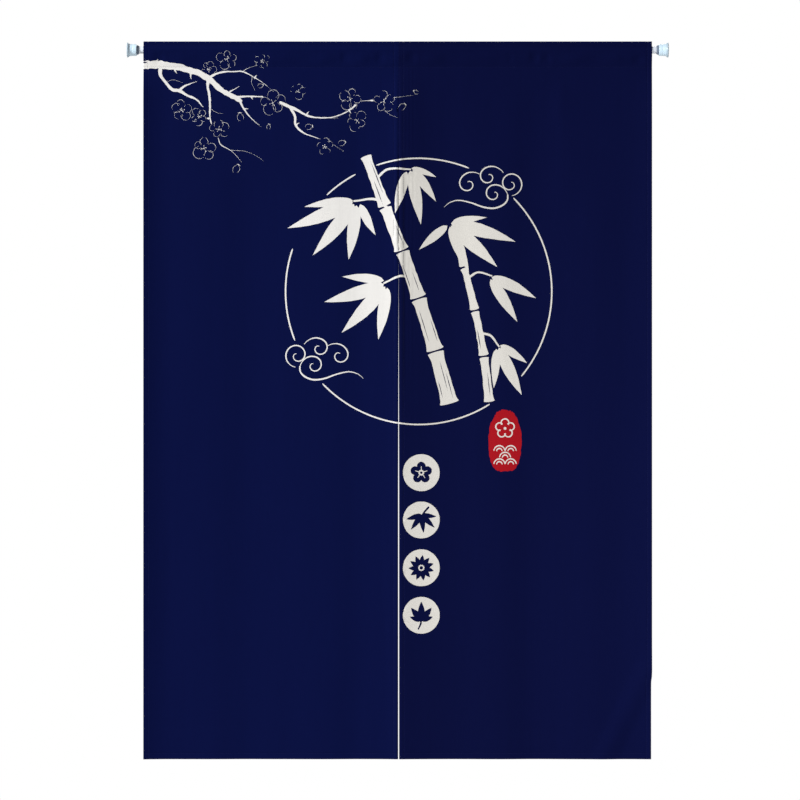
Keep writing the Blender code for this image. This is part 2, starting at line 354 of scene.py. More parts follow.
def foldDepth(x, z):
    # How far the cloth lies behind its flat plane: bells for folds, squares for curled edges, and
    # long shallow waves, because cloth is never quite even.
    drop = (cloth["top"] - z) / (cloth["top"] - cloth["bottom"])
    depth = np.zeros_like(x)
    for centre, halfWidth, back, lean, top, bottom in folds:
        fade = smoothStep((top - z) / cloth["foldFade"]) * smoothStep((z - bottom) / cloth["foldFade"])
        depth += back * bell(x - centre - lean * drop, halfWidth) * fade
    for edge, reachLeft, reachRight, height in curls:
        reach = np.where(x < edge, reachLeft, reachRight)
        depth -= height * np.clip(1.0 - np.abs(x - edge) / reach, 0.0, 1.0) ** 2
    depth += 0.22 * np.sin(x / 31.0 + z / 410.0) * np.sin(z / 170.0 + x / 90.0)
    depth += 0.1 * np.sin(x / 13.0 - z / 260.0 + 1.3) * np.sin(z / 120.0 - 0.4)
    return depth * hangAt(z)


def pocketRelief(x, z):  # how far the pocket's front stands out
    relief = np.zeros_like(x)
    for centre, halfWidth, bulge, height, reach in puckers:
        relief += bulge * bell(x - centre, halfWidth) * bell(z - height, reach)
    return relief


def slitShift(z):  # how far each of the slit's edges lies from the seam line
    opening = np.clip((cloth["sewnTo"] - z) / (cloth["sewnTo"] - cloth["openFrom"]), 0.0, 1.0)
    pressed = cloth["sewnOverlap"] * (z > cloth["sewnTo"])
    return cloth["slitWidth"] / 2 * opening ** cloth["slitOnset"] - pressed


def deepening(z):  # 0 near the rod, 1 from where the weight of the panels pulls the seam in
    return smoothStep((cloth["seamFlatTo"] - z) / (cloth["seamFlatTo"] - cloth["seamFullFrom"]))


def sewnShare(z):  # 1 where the seam is deep, fading out where the slit begins
    return deepening(z) * smoothStep((z - cloth["sewnTo"]) / cloth["seamFade"])


panels = {
    # side edges in flat cloth, which of them is the slit's (1 the high one), how wide it rolls into
    # the seam, and whether ripples run beside it
    "left": {
        "low": cloth["left"], "high": cloth["slitX"], "slitSide": 1, "seamWidth": 3.6, "rippled": False,
    },
    "right": {
        "low": cloth["slitX"], "high": cloth["right"], "slitSide": -1, "seamWidth": 1.8, "rippled": True,
    },
}


def stitchedDent(distance, dent):  # bell curve of the distance from the line of stitches
    depth, halfWidth = dent
    return -depth * np.exp(-(distance / halfWidth) ** 2)


def seamRipples(fromSlit, z):  # a cosine across, which wanders down the cloth and fades out at its ends
    top, topFade = cloth["rippleTop"]
    end, endFade = cloth["rippleEnd"]
    band = bell(fromSlit - cloth["rippleMiddle"], cloth["rippleReach"])
    band = band * smoothStep((top - z) / topFade) * smoothStep((z - end) / endFade)
    phase = 2.0 * math.pi * (fromSlit - cloth["rippleCrest"]) / cloth["rippleSpacing"]
    return cloth["ripple"] * band * np.cos(phase + 0.5 * np.sin(z / 90.0))


def edgeDistances(x, panel):  # from its low and its high edge, from the slit, and from the nearer edge
    fromLow = x - panel["low"]
    fromHigh = panel["high"] - x
    fromSlit = fromHigh if panel["slitSide"] == 1 else fromLow
    return fromLow, fromHigh, fromSlit, np.minimum(fromLow, fromHigh)


def clothSurface(x, s, panel, side):
    # Outer (side 1) or inner (side -1) skin: a mid-line point, pushed back by the folds and out along
    # its normal by the puckers and half the thickness, with hems and seams on top.
    y = np.interp(s, pathS, pathY)
    z = np.interp(s, pathS, pathZ)
    outY = np.interp(s, pathS, normalY)
    outZ = np.interp(s, pathS, normalZ)
    width = panel["high"] - panel["low"]
    fromLow, fromHigh, fromSlit, fromSide = edgeDistances(x, panel)
    fromBottom = pathEnd - s
    onFront = s > 0.0
    belowPocket = smoothStep((cloth["pocketEnd"] - cloth["hemStart"] - z) / cloth["hemStart"]) * onFront
    roll = np.clip(1.0 - fromSlit / cloth["edgeRollWidth"], 0.0, 1.0) ** 2
    deep = np.clip(1.0 - fromSlit / panel["seamWidth"], 0.0, 1.0) ** 2 * sewnShare(z)
    y = y + foldDepth(x, z) + (cloth["edgeRoll"] * roll + cloth["seamRoll"] * deep) * hangAt(z)

    out = cloth["thickness"] / 2 + side * pocketRelief(x, z) * onFront
    if side == 1:
        out = out + stitchedDent(z - cloth["headingSeam"], cloth["headingDent"])
        out = out + stitchedDent(z + cloth["pocketSeam"], cloth["pocketDent"])
        out = out + stitchedDent(fromSide - cloth["sideHem"], cloth["hemDent"])
        out = out + stitchedDent(fromBottom - cloth["bottomHem"], cloth["hemDent"])
        if panel["rippled"]:
            out = out + seamRipples(fromSlit, z)
    else:
        atSide = smoothStep((cloth["sideHem"] + cloth["hemStepFrom"] - fromSide) / cloth["hemStep"])
        atBottom = smoothStep((cloth["bottomHem"] + cloth["hemStepFrom"] - fromBottom) / cloth["hemStep"])
        out = out + cloth["hemLayer"] * np.maximum(atSide, atBottom) * belowPocket
    nearest = np.minimum(np.minimum(fromSide, fromBottom), s - pathStart)
    dip = 1.0 - np.clip(nearest / cloth["turnedEdge"], 0.0, 1.0)
    out = out - cloth["turnedEdge"] * (1.0 - np.sqrt(1.0 - dip ** 2))

    slitShare = fromLow / width if panel["slitSide"] == 1 else fromHigh / width
    shift = -panel["slitSide"] * slitShift(z) * slitShare
    if panel["slitSide"] == -1:
        tucked = smoothStep((cloth["tuckTop"] - z) / cloth["tuckLength"])
        shift = shift - cloth["tuck"] * tucked * fromLow / width
    return np.stack([x + shift, y + side * out * outY, z + side * out * outZ], axis=-1)


def clothNormals(x, s, panel, side):  # from small steps across and along the cloth
    step = 0.04
    across = (clothSurface(np.minimum(x + step, panel["high"]), s, panel, side)
              - clothSurface(np.maximum(x - step, panel["low"]), s, panel, side))
    along = (clothSurface(x, np.minimum(s + step, pathEnd), panel, side)
             - clothSurface(x, np.maximum(s - step, pathStart), panel, side))
    normal = np.cross(along, across) * side
    return normal / np.linalg.norm(normal, axis=1)[:, None]


# The print is made of closed outlines in flat cloth: x from the cloth's left edge, y down from its top.
inkNames = ("ground", "cream", "red")
ground, cream, red = 0, 1, 2
finestHalf = 0.07       # half the width of the finest line
printRandom = np.random.default_rng(11)


def curveThrough(rows, step=2.5):
    # Catmull-Rom curve through rows of (x, y, width), with a point about every step.
    rows = np.array(rows, float)
    rows = np.vstack([2 * rows[0] - rows[1], rows, 2 * rows[-1] - rows[-2]])
    spans = np.linalg.norm(np.diff(rows[1:-1, :2], axis=0), axis=1)
    counts = np.maximum(2, np.ceil(spans / step).astype(int))
    which = np.repeat(np.arange(len(counts)), counts)
    t = ((np.arange(len(which)) - np.repeat(np.cumsum(counts) - counts, counts)) / counts[which])[:, None]
    a, b, c, d = (rows[which + k] for k in range(4))
    line = 0.5 * (2 * b + (c - a) * t + (2 * a - 5 * b + 4 * c - d) * t ** 2
                  + (3 * b - a - 3 * c + d) * t ** 3)
    return np.vstack([line, rows[-2]])


def unevenness(count, amount, grain):  # random offsets, one for each point, changing every grain points
    knots = printRandom.uniform(-1.0, 1.0, max(4, int(count / grain) + 2))
    return amount * np.interp(np.linspace(0, len(knots) - 1, count), np.arange(len(knots)), knots)


def alongAndAcross(middle):  # unit vectors of a line of points
    along = np.gradient(middle, axis=0)
    along /= np.linalg.norm(along, axis=1)[:, None] + 1e-12
    return along, np.stack([-along[:, 1], along[:, 0]], axis=1)


def strokeOutline(line, rough=0.0, grain=2.0, capReach=99.0, capSteps=5):
    # Both sides of a line of (x, y, width), joined by round ends that reach out no more than capReach.
    middle, half = line[:, :2], np.maximum(line[:, 2] / 2, finestHalf)
    along, side = alongAndAcross(middle)
    left = middle + side * (half + unevenness(len(middle), rough, grain))[:, None]
    right = middle - side * (half + unevenness(len(middle), rough, grain))[:, None]
    turn = np.linspace(0.0, math.pi, capSteps + 2)[1:-1, None]
    ends = []
    for at, sign in ((-1, 1.0), (0, -1.0)):
        reach = min(half[at], capReach)
        bulge = half[at] * side[at] * np.cos(turn) + reach * along[at] * np.sin(turn)
        ends.append(middle[at] + sign * bulge)
    return np.vstack([left, ends[0], right[::-1], ends[1]])


def brush(rows, ink=cream, rough=0.0, grain=2.0, step=2.5):
    return (ink, strokeOutline(curveThrough(rows, step), rough, grain))


def circleOutline(centre, radius, count, rough=0.0):
    angle = np.linspace(0.0, 2.0 * math.pi, count, endpoint=False)
    reach = radius + unevenness(count, rough, 1.5)
    return np.stack([centre[0] + reach * np.cos(angle), centre[1] + reach * np.sin(angle)], axis=1)


def arcLine(centre, radius, fromDegrees, toDegrees, widths, step=3.0):
    # Angles turn from the right towards the top. Widths are at the start, the middle and the end.
    count = max(8, int(math.radians(abs(toDegrees - fromDegrees)) * radius / step))
    angle = np.radians(np.linspace(fromDegrees, toDegrees, count))
    width = np.interp(np.linspace(0, 2, count), (0, 1, 2), widths)
    return np.stack([centre[0] + radius * np.cos(angle), centre[1] - radius * np.sin(angle), width], axis=1)


def pointFrom(x, y, reach, degrees):  # at that reach from x and y, turned as in arcLine
    return x + reach * math.cos(math.radians(degrees)), y - reach * math.sin(math.radians(degrees))


def leafOutline(base, degrees, length, width, bend=0.0, rough=0.35):
    # A brush leaf: narrow foot, widest a third along, long point. Degrees turn from the right
    # towards the bottom, and bend carries the tip to one side.
    t = np.linspace(0.0, 1.0, max(14, int(length / 4)))
    direction = np.array([math.cos(math.radians(degrees)), math.sin(math.radians(degrees))])
    sideways = np.array([-direction[1], direction[0]])
    middle = np.array(base) + np.outer(length * t, direction) + np.outer(bend * length * t ** 2, sideways)
    half = width / 2 * t ** 0.6 * (1 - t) ** 1.05 / 0.345      # the product peaks at about 0.34
    _, side = alongAndAcross(middle)
    fade = np.sin(math.pi * t)
    left = middle + side * (half + unevenness(len(t), rough, 1.6) * fade)[:, None]
    right = middle - side * (half + unevenness(len(t), rough, 1.6) * fade)[:, None]
    return np.vstack([left, right[-2:0:-1]])


ring = {
    "centre": (460.0, 418.0),
    "radius": 222.5,
    "line": 2.5,
    # arcs in degrees, turning from the right towards the top
    "arcs": [(118.5, 133.5), (68.0, 108.5), (-39.5, 44.5), (-136.0, -58.0), (161.5, 201.5)],
}


def ringOutlines():
    shapes = []
    for start, end in ring["arcs"]:
        width = ring["line"]
        line = arcLine(ring["centre"], ring["radius"], start, end, (width, width, width), 4.0)
        line[[0, -1], 2] *= 0.55
        shapes.append((cream, strokeOutline(line)))
    return shapes


clouds = {
    "places": [(581.5, 245.4, 1.0), (289.0, 532.0, -1.0)],      # middle, and mirroring
    # curls: centre from the cloud's middle, outer radius, lead-in, start angle, turn, inner radius
    "curls": [
        (-38.5, -7.5, 15.8, 0.55, 41.0, 430.0, 2.8),
        (-4.5, -19.5, 15.6, 0.62, 15.0, 440.0, 2.8),
        (32.5, -7.0, 18.5, 0.06, -82.0, 520.0, 2.8),
        (4.5, 9.5, 15.2, 0.5, -5.0, 440.0, 2.8),
    ],
    "tail": [(27.4, 11.5, 2.2), (26.6, 20.0, 2.5), (19.0, 28.5, 2.7), (4.0, 33.6, 2.8), (-14.0, 31.5, 2.6),
             (-34.0, 24.5, 2.2), (-54.0, 20.3, 1.8), (-69.0, 23.8, 1.2), (-79.0, 31.5, 0.4)],
    "line": 2.2,
}


def curlLine(centre, outer, leadIn, start, turn, inner, width):
    # Spiral: radius = outer * (1 + leadIn * (1 - turned / 110) ** 2) * (inner / outer) ** t ** 2.6, so
    # it comes in from further out, holds its radius for a turn and then closes, thinning inwards.
    t = np.linspace(0.0, 1.0, max(30, int(abs(turn) / 8)))
    turned = np.abs(turn) * t
    angle = np.radians(start + turn * t)
    further = leadIn * np.clip(1.0 - turned / 110.0, 0.0, 1.0) ** 2
    radius = outer * (1.0 + further) * (inner / outer) ** (t ** 2.6)
    lineWidth = width * np.interp(t, (0.0, 0.15, 0.6, 0.9, 1.0), (0.45, 1.0, 0.85, 0.6, 0.35))
    x = centre[0] + radius * np.cos(angle)
    y = centre[1] - radius * np.sin(angle)
    return np.stack([x, y, lineWidth], axis=1)


def cloudOutlines():
    shapes = []
    for x, y, mirror in clouds["places"]:
        lines = [curlLine((cx, cy), outer, leadIn, start, turn, inner, clouds["line"])
                 for cx, cy, outer, leadIn, start, turn, inner in clouds["curls"]]
        lines.append(curveThrough(clouds["tail"], 2.0))
        for line in lines:
            line[:, 0] = x + mirror * line[:, 0]
            line[:, 1] = y + line[:, 1]
            shapes.append((cream, strokeOutline(line)))
    return shapes


# Bamboo in broad strokes, within the ring and out through its gaps.
bamboo = {
    # culms: points up the culm as (x, y, width), and the shares of its length where its joints are
    "culms": [
        {"line": [(512.0, 607.0, 30.0), (484.0, 505.0, 27.0), (443.0, 380.0, 24.0), (405.0, 280.0, 21.0),
                  (371.0, 190.0, 18.0)],
         "joints": (0.0, 0.21, 0.42, 0.61, 0.79, 1.0)},
        {"line": [(578.0, 604.0, 17.0), (566.0, 510.0, 15.0), (542.0, 400.0, 13.0), (514.0, 312.0, 10.0)],
         "joints": (0.0, 0.26, 0.52, 0.77, 1.0)},
    ],
    "jointGap": 6.2,
    "capReach": 1.8,
    # twigs: points along each as (x, y, width)
    "twigs": [
        [(410.0, 281.0, 5.0), (388.0, 264.0, 4.0), (352.0, 267.0, 3.0)],
        [(384.0, 236.0, 4.5), (408.0, 214.0, 3.6), (446.0, 214.0, 2.8)],
        [(455.0, 404.0, 4.6), (432.0, 392.0, 3.8), (402.0, 404.0, 2.8)],
        [(564.0, 488.0, 4.0), (580.0, 492.0, 3.4), (594.0, 510.0, 2.6)],
        [(543.0, 395.0, 4.0), (560.0, 386.0, 3.2), (582.0, 392.0, 2.4)],
    ],
    # leaves: foot, direction in degrees from the right towards the bottom, length, width, bend
    "leaves": [
        (350.0, 268.0, 154.0, 118.0, 24.0, 0.07),
        (352.0, 272.0, 126.0, 110.0, 24.0, 0.05),
        (356.0, 274.0, 97.0, 92.0, 21.0, 0.02),
        (350.0, 266.0, 176.0, 82.0, 15.0, -0.06),
        (362.0, 272.0, 68.0, 58.0, 15.0, -0.08),
        (446.0, 216.0, 76.0, 92.0, 20.0, 0.05),
        (450.0, 214.0, 50.0, 66.0, 16.0, 0.07),
        (440.0, 218.0, 108.0, 72.0, 17.0, -0.04),
        (448.0, 212.0, 14.0, 44.0, 10.0, 0.1),
        (402.0, 406.0, 160.0, 104.0, 23.0, 0.06),
        (404.0, 410.0, 131.0, 106.0, 24.0, 0.04),
        (408.0, 412.0, 100.0, 88.0, 20.0, 0.0),
        (402.0, 400.0, 190.0, 70.0, 15.0, -0.08),
        (514.0, 304.0, 12.0, 112.0, 23.0, 0.07),
        (514.0, 308.0, 39.0, 104.0, 23.0, 0.05),
        (512.0, 310.0, 66.0, 82.0, 19.0, 0.02),
        (508.0, 308.0, 142.0, 62.0, 15.0, -0.04),
        (516.0, 302.0, -12.0, 58.0, 12.0, 0.08),
        (594.0, 512.0, 66.0, 88.0, 21.0, -0.03),
        (596.0, 508.0, 30.0, 54.0, 14.0, 0.06),
        (590.0, 514.0, 93.0, 66.0, 15.0, 0.02),
        (582.0, 394.0, 22.0, 82.0, 19.0, 0.06),
        (580.0, 398.0, 56.0, 84.0, 19.0, 0.03),
    ],
    # streaks that a dry brush leaves in a culm: culm, from, to, sideways share
    "streaks": [
        (0, 0.02, 0.13, 0.26), (0, 0.05, 0.17, 0.08), (0, 0.03, 0.1, -0.3), (0, 0.24, 0.33, 0.3),
        (0, 0.25, 0.38, -0.22), (0, 0.44, 0.52, 0.18), (0, 0.46, 0.56, -0.3), (0, 0.63, 0.71, 0.26),
        (0, 0.8, 0.9, -0.1), (0, 0.84, 0.97, 0.24), (1, 0.03, 0.17, 0.15), (1, 0.3, 0.42, -0.2),
    ],
}


def lengthsAlong(line):
    return np.concatenate([[0.0], np.cumsum(np.linalg.norm(np.diff(line[:, :2], axis=0), axis=1))])


def lineBetween(line, start, end, step):  # part of a line, between two shares of its length
    length = lengthsAlong(line)
    count = max(10, int((end - start) * length[-1] / step))
    at = np.linspace(start * length[-1], end * length[-1], count)
    return np.stack([np.interp(at, length, line[:, k]) for k in range(3)], axis=1)


def bambooOutlines():
    shapes = []
    for culm in bamboo["culms"]:
        line = curveThrough(culm["line"], 3.0)
        gap = bamboo["jointGap"] / 2 / lengthsAlong(line)[-1]
        for low, high in zip(culm["joints"], culm["joints"][1:]):
            piece = lineBetween(line, low + gap, high - gap, 3.0)
            t = np.linspace(-1.0, 1.0, len(piece))
            piece[:, 2] *= 0.84 + 0.22 * t ** 6 - 0.04 * t     # flares at both joints
            shapes.append((cream, strokeOutline(piece, 0.55, 2.0, bamboo["capReach"])))
    for rows in bamboo["twigs"]:
        shapes.append(brush(rows, cream, 0.25))
    for x, y, degrees, long, wide, bend in bamboo["leaves"]:
        shapes.append((cream, leafOutline((x, y), degrees, long, wide, bend)))
    for culm, low, high, sideways in bamboo["streaks"]:
        line = curveThrough(bamboo["culms"][culm]["line"], 3.0)
        piece = lineBetween(line, low, high, 2.5)
        _, side = alongAndAcross(piece[:, :2])
        piece[:, :2] += side * (sideways * piece[:, 2])[:, None]
        piece[:, 2] = 1.2 * np.sin(math.pi * np.linspace(0.02, 0.98, len(piece)))
        shapes.append((ground, strokeOutline(piece, 0.2, 1.5)))
    return shapes


# A flowering branch at the top left: bough, twigs, and blossoms drawn in fine line.
branch = {
    "wood": [
        [(-12.0, 39.5, 14.0), (12.0, 39.0, 14.2), (27.0, 39.0, 14.5), (42.0, 41.0, 12.0),
         (64.0, 44.0, 11.4), (86.0, 51.0, 11.0), (104.0, 59.0, 11.6), (116.0, 69.0, 9.6),
         (130.0, 81.0, 8.8), (144.0, 89.0, 9.4), (157.0, 96.0, 8.0), (163.0, 99.5, 5.0)],
        [(28.0, 45.0, 6.6), (28.5, 57.0, 5.8), (37.0, 68.0, 5.0), (47.0, 80.0, 5.8), (61.0, 83.0, 5.4),
         (72.0, 90.0, 4.0), (88.0, 97.0, 3.4), (100.0, 110.0, 1.2)],
        [(59.0, 83.0, 4.2), (68.0, 75.0, 3.4), (78.0, 71.0, 2.0), (89.0, 67.0, 0.9)],
        [(108.5, 64.0, 6.2), (107.5, 76.0, 4.6), (110.5, 92.0, 4.0), (111.0, 108.0, 3.4),
         (111.0, 126.0, 2.8), (113.5, 138.0, 2.2)],
        [(109.0, 61.0, 5.0), (120.0, 55.0, 3.6), (134.0, 51.0, 3.2), (150.0, 50.5, 2.6),
         (166.0, 50.5, 2.8), (181.0, 58.0, 2.2), (198.0, 68.0, 1.6), (217.0, 84.0, 0.7)],
        [(166.0, 50.0, 1.6), (177.0, 44.0, 1.0), (191.0, 39.5, 0.6)],
        [(143.0, 85.0, 3.0), (152.0, 80.0, 2.0), (161.0, 74.5, 0.9)],
        [(156.0, 93.0, 4.0), (172.0, 92.0, 3.2), (199.0, 92.5, 2.7)],
        [(160.0, 97.0, 4.4), (166.0, 110.0, 3.2), (176.0, 124.0, 2.4), (185.0, 133.0, 1.6),
         (197.0, 143.0, 0.7)],
        [(229.0, 102.0, 4.6), (241.0, 108.0, 6.0), (255.0, 114.0, 4.6), (272.0, 123.5, 3.2),
         (291.0, 127.5, 2.8), (314.0, 127.0, 2.5), (333.0, 121.0, 2.2), (345.0, 114.5, 2.4),
         (354.0, 107.0, 4.0)],
        [(246.0, 112.0, 5.0), (253.0, 125.0, 4.4), (254.5, 140.0, 3.8), (266.0, 152.0, 3.0),
         (280.0, 158.0, 2.0), (296.0, 163.5, 0.9)],
        [(308.0, 128.0, 1.8), (325.0, 128.0, 0.7)],
        [(364.0, 100.0, 1.4), (375.0, 99.0, 1.6), (383.0, 99.0, 3.4)],
        [(125.0, 162.0, 1.8), (129.5, 173.0, 2.2), (145.0, 182.0, 1.6), (155.0, 191.0, 1.1),
         (164.0, 202.0, 0.6)],
        [(145.0, 182.0, 1.2), (168.0, 183.5, 0.8), (186.0, 190.0, 0.7), (201.0, 200.0, 0.5)],
        [(113.0, 113.0, 1.1), (122.0, 119.0, 0.8), (133.0, 121.0, 0.5)],
        [(39.0, 67.0, 0.7), (51.0, 64.5, 0.8), (66.0, 69.5, 0.5)],
        [(181.5, 59.0, 1.4), (181.0, 70.0, 0.9), (186.5, 82.0, 0.6)],
        [(418.0, 94.5, 1.0), (433.0, 92.5, 0.8), (450.0, 90.0, 0.5)],
        [(403.0, 116.0, 0.9), (412.0, 122.5, 0.8), (425.0, 127.5, 0.5)],
        [(318.0, 173.0, 0.8), (335.0, 184.0, 0.5)],
    ],
    "notch": [(-3.0, 35.4, 2.6), (1.5, 35.5, 2.6), (5.2, 35.2, 1.6)],      # where the bough's bark splits
    # spurs on the wood: x, y, direction from the right towards the bottom, length
    "spurs": [
        (52.0, 47.0, 66.0, 7.0), (79.0, 54.0, 92.0, 9.0), (181.0, 93.0, 84.0, 4.0),
        (273.0, 122.0, -62.0, 5.0), (186.0, 61.0, -64.0, 5.0), (168.0, 113.0, -4.0, 6.0),
        (256.0, 139.0, -40.0, 4.0), (21.0, 35.0, -64.0, 5.0), (344.0, 115.0, 70.0, 5.0),
        (109.0, 129.0, 190.0, 4.0),
    ],
    # blossoms: x, y, radius, turn in degrees, openness, and how much of the line is missing
    "blossoms": [
        (140.0, 30.0, 17.0, 18.0, 1.0, 0.35),
        (109.0, 47.0, 14.0, 62.0, 0.95, 0.5),
        (198.0, 33.0, 12.5, 20.0, 0.9, 0.82),
        (64.0, 115.0, 18.0, 15.0, 1.0, 0.4),
        (93.0, 126.0, 14.0, 50.0, 0.95, 0.45),
        (126.0, 147.0, 16.5, 30.0, 0.95, 0.55),
        (101.0, 179.0, 20.5, 8.0, 1.0, 0.3),
        (216.0, 103.0, 21.0, 25.0, 1.0, 0.25),
        (258.0, 84.0, 14.0, 5.0, 0.9, 0.65),
        (346.0, 97.0, 19.5, 12.0, 1.0, 0.35),
        (357.0, 132.0, 17.5, 44.0, 0.95, 0.6),
        (402.0, 100.0, 19.0, 30.0, 1.0, 0.5),
        (303.0, 176.0, 14.0, 20.0, 0.95, 0.65),
    ],
    # buds: x, y, radius, turn
    "buds": [
        (155.0, 213.5, 8.0, 60.0), (195.0, 74.5, 5.0, 20.0), (162.0, 127.0, 7.5, 100.0),
        (276.0, 143.0, 6.5, 10.0), (432.0, 110.0, 7.0, 40.0), (331.0, 170.0, 6.5, 20.0),
        (209.0, 143.0, 4.5, 80.0), (456.0, 85.0, 4.5, 150.0),
    ],
    "line": 0.42,
    "thinner": 0.9,             # lines look wider in the picture than they are, twigs most of all
    "fineUnder": 3.4,
}


def blossomOutlines(x, y, radius, turn, openness, missing):
    # Five petals round a heart, each a circle left open at its foot and broken where the brush ran
    # dry, and a few stamens with heads.
    shapes = []
    for k in range(5):
        towards = turn + 72.0 * k + printRandom.uniform(-12, 12)
        petal = radius * printRandom.uniform(0.28, 0.5) * openness
        away = radius * printRandom.uniform(0.5, 0.68)
        centre = pointFrom(x, y, away, towards)
        start = towards - 158.0 + printRandom.uniform(0, 150) * missing
        end = towards + 158.0 - printRandom.uniform(0, 150) * missing
        gap = printRandom.uniform(start + 30.0, end - 30.0)
        halfGap = printRandom.uniform(0, 75) * missing
        dry = printRandom.uniform(0, 1) < missing - 0.35       # this petal is hardly there
        peak = branch["line"] * printRandom.uniform(0.6, 1.4)
        for low, high in ((start, gap - halfGap), (gap + halfGap, end)):
            if high - low > (95.0 if dry else 12.0):
                arc = arcLine(centre, petal, low, high, (0.14, peak, 0.14), 2.0)
                shapes.append((cream, strokeOutline(arc, 0.04)))
    for k in range(5):
        towards = turn + 72.0 * k + printRandom.uniform(-30, 30)
        tip = pointFrom(x, y, radius * printRandom.uniform(0.14, 0.34), towards)
        thread = np.array([[x, y, 0.6], [(x + tip[0]) / 2, (y + tip[1]) / 2, 0.3], [*tip, 0.2]])
        shapes.append((cream, strokeOutline(thread, capSteps=2)))
        shapes.append((cream, circleOutline(tip, printRandom.uniform(0.4, 0.85), 7)))
    return shapes


def branchOutlines():
    shapes = []
    for rows in branch["wood"]:
        wood = np.array(rows)
        wood[:, 2] *= branch["thinner"] * np.minimum(1.0, wood[:, 2] / branch["fineUnder"]) ** 0.7
        shapes.append(brush(wood, cream, 0.08 * wood[:, 2].max(), 2.2, 2.2))
    for x, y, degrees, long in branch["spurs"]:
        half = pointFrom(x, y, 0.5 * long, -degrees)
        tip = pointFrom(x + 1.0, y, long, -degrees)
        shapes.append(brush([(x, y, 3.2), (*half, 1.8), (*tip, 0.6)]))
    for row in branch["blossoms"]:
        shapes += blossomOutlines(*row)
    for x, y, radius, turn in branch["buds"]:      # two petals that close over each other at the tip
        for side in (-1, 1):
            centre = pointFrom(x, y, -0.3 * radius, turn + 90.0 * side)
            start, end = turn + 20.0 * side, turn + side * (140.0 + 14.0 * side)
            arc = arcLine(centre, radius, start, end, (0.14, branch["line"], 0.14), 2.0)
            shapes.append((cream, strokeOutline(arc)))
        foot = arcLine((x, y), radius + 0.4, turn - 24.0, turn + 24.0, (0.3, 1.3, 0.3), 1.5)
        shapes.append((cream, strokeOutline(foot)))
    shapes.append(brush(branch["notch"], ground, 0.2))
    return shapes


discs = {
    "x": 463.7,
    "drops": (721.0, 800.0, 880.0, 959.3),
    "radius": 30.8,
    # leaves of the second and the fourth motif: direction, length, width, bend
    "hanging": [
        (158.0, 27.0, 9.0, 0.1), (122.0, 31.0, 9.6, 0.06), (84.0, 31.0, 9.6, 0.0),
        (48.0, 31.0, 9.4, -0.05), (14.0, 25.0, 8.4, -0.12),
    ],
    "maple": [
        (-170.0, 20.0, 9.0, 0.1), (-132.0, 27.0, 11.5, 0.04), (-90.0, 31.0, 12.5, 0.0),
        (-48.0, 27.0, 11.5, -0.04), (-10.0, 20.0, 9.0, -0.1),
    ],
}


def leafFan(foot, rows):  # navy leaves out of one foot
    return [(ground, leafOutline(foot, *row, 0.2)) for row in rows]


def discOutlines():
    # Four cream discs with plain motifs in the ground's navy: blossom, hanging leaves, daisy, maple.
    x = discs["x"]
    shapes = [(cream, circleOutline((x, y), discs["radius"], 72, 0.2)) for y in discs["drops"]]
    y = discs["drops"][0]
    fifths = [90.0 - 72.0 * k for k in range(5)]
    shapes += [(ground, circleOutline(pointFrom(x, y, 11.0, turn), 7.4, 26, 0.25)) for turn in fifths]
    shapes.append((cream, circleOutline((x, y), 4.6, 18)))
    for turn in fifths:
        thread = np.array([[*pointFrom(x, y, 4.0, turn), 1.5], [*pointFrom(x, y, 10.5, turn), 0.9]])
        shapes.append((cream, strokeOutline(thread, capSteps=2)))
    shapes.append((ground, circleOutline((x, y), 2.2, 12)))
    y = discs["drops"][1]
    stalk = [(x + 12.0, y - 21.0, 3.2), (x + 5.0, y - 13.0, 3.0), (x + 1.0, y - 7.0, 2.4)]
    shapes += [brush(stalk, ground)] + leafFan((x + 0.5, y - 9.0), discs["hanging"])
    y = discs["drops"][2]
    for k in range(11):
        turn = 12.0 + 360.0 / 11 * k
        shapes += leafFan(pointFrom(x, y, 4.6, -turn), [(turn, 17.0, 8.6, 0.06)])
    shapes.append((ground, circleOutline((x, y), 3.0, 14)))
    y = discs["drops"][3]
    shapes += leafFan((x, y + 8.0), discs["maple"])
    stalk = [(x, y + 5.0, 3.8), (x - 1.0, y + 14.0, 2.8), (x - 5.0, y + 23.0, 2.4)]
    shapes.append(brush(stalk, ground, 0.1))
    return shapes


stamp = {
    "centre": (604.0, 668.0),
    "halfHeight": 51.5,
    "halfWidth": 27.5,
    "line": 2.3,
}


def stampOutlines():
    # A worn red stamp of rounded outline: a blossom over rows of water.
    x, y = stamp["centre"]
    angle = np.linspace(0.0, 2.0 * math.pi, 110, endpoint=False)
    power = 0.72                                  # rounds an oval towards a slab
    worn = 1.0 + unevenness(110, 0.03, 1.4)
    waist = 1.0 - 0.16 * smoothStep(np.sin(-angle))      # narrower at the top
    across = stamp["halfWidth"] * worn * waist * np.sign(np.cos(angle)) * np.abs(np.cos(angle)) ** power
    down = stamp["halfHeight"] * worn * np.sign(np.sin(angle)) * np.abs(np.sin(angle)) ** power
    shapes = [(red, np.stack([x + across, y + down], axis=1))]
    line = stamp["line"]
    heart = y - 21.0
    for k in range(5):
        towards = 90.0 + 72.0 * k
        petal = pointFrom(x, heart, 9.6, towards)
        arc = arcLine(petal, 6.4, towards - 116.0, towards + 116.0, (line * 0.8, line, line * 0.8), 1.6)
        shapes.append((cream, strokeOutline(arc, 0.15)))
    shapes.append((cream, circleOutline((x, heart), 2.4, 12)))
    for row, count in ((0, 2), (1, 1), (2, 2)):
        for k in range(count):
            centre = (x + (k - (count - 1) / 2) * 19.0, y + 17.0 + row * 11.0)
            for radius in (9.2, 4.6):
                arc = arcLine(centre, radius, 8.0, 172.0, (line * 0.7, line, line * 0.7), 1.6)
                shapes.append((cream, strokeOutline(arc, 0.12)))
    return shapes


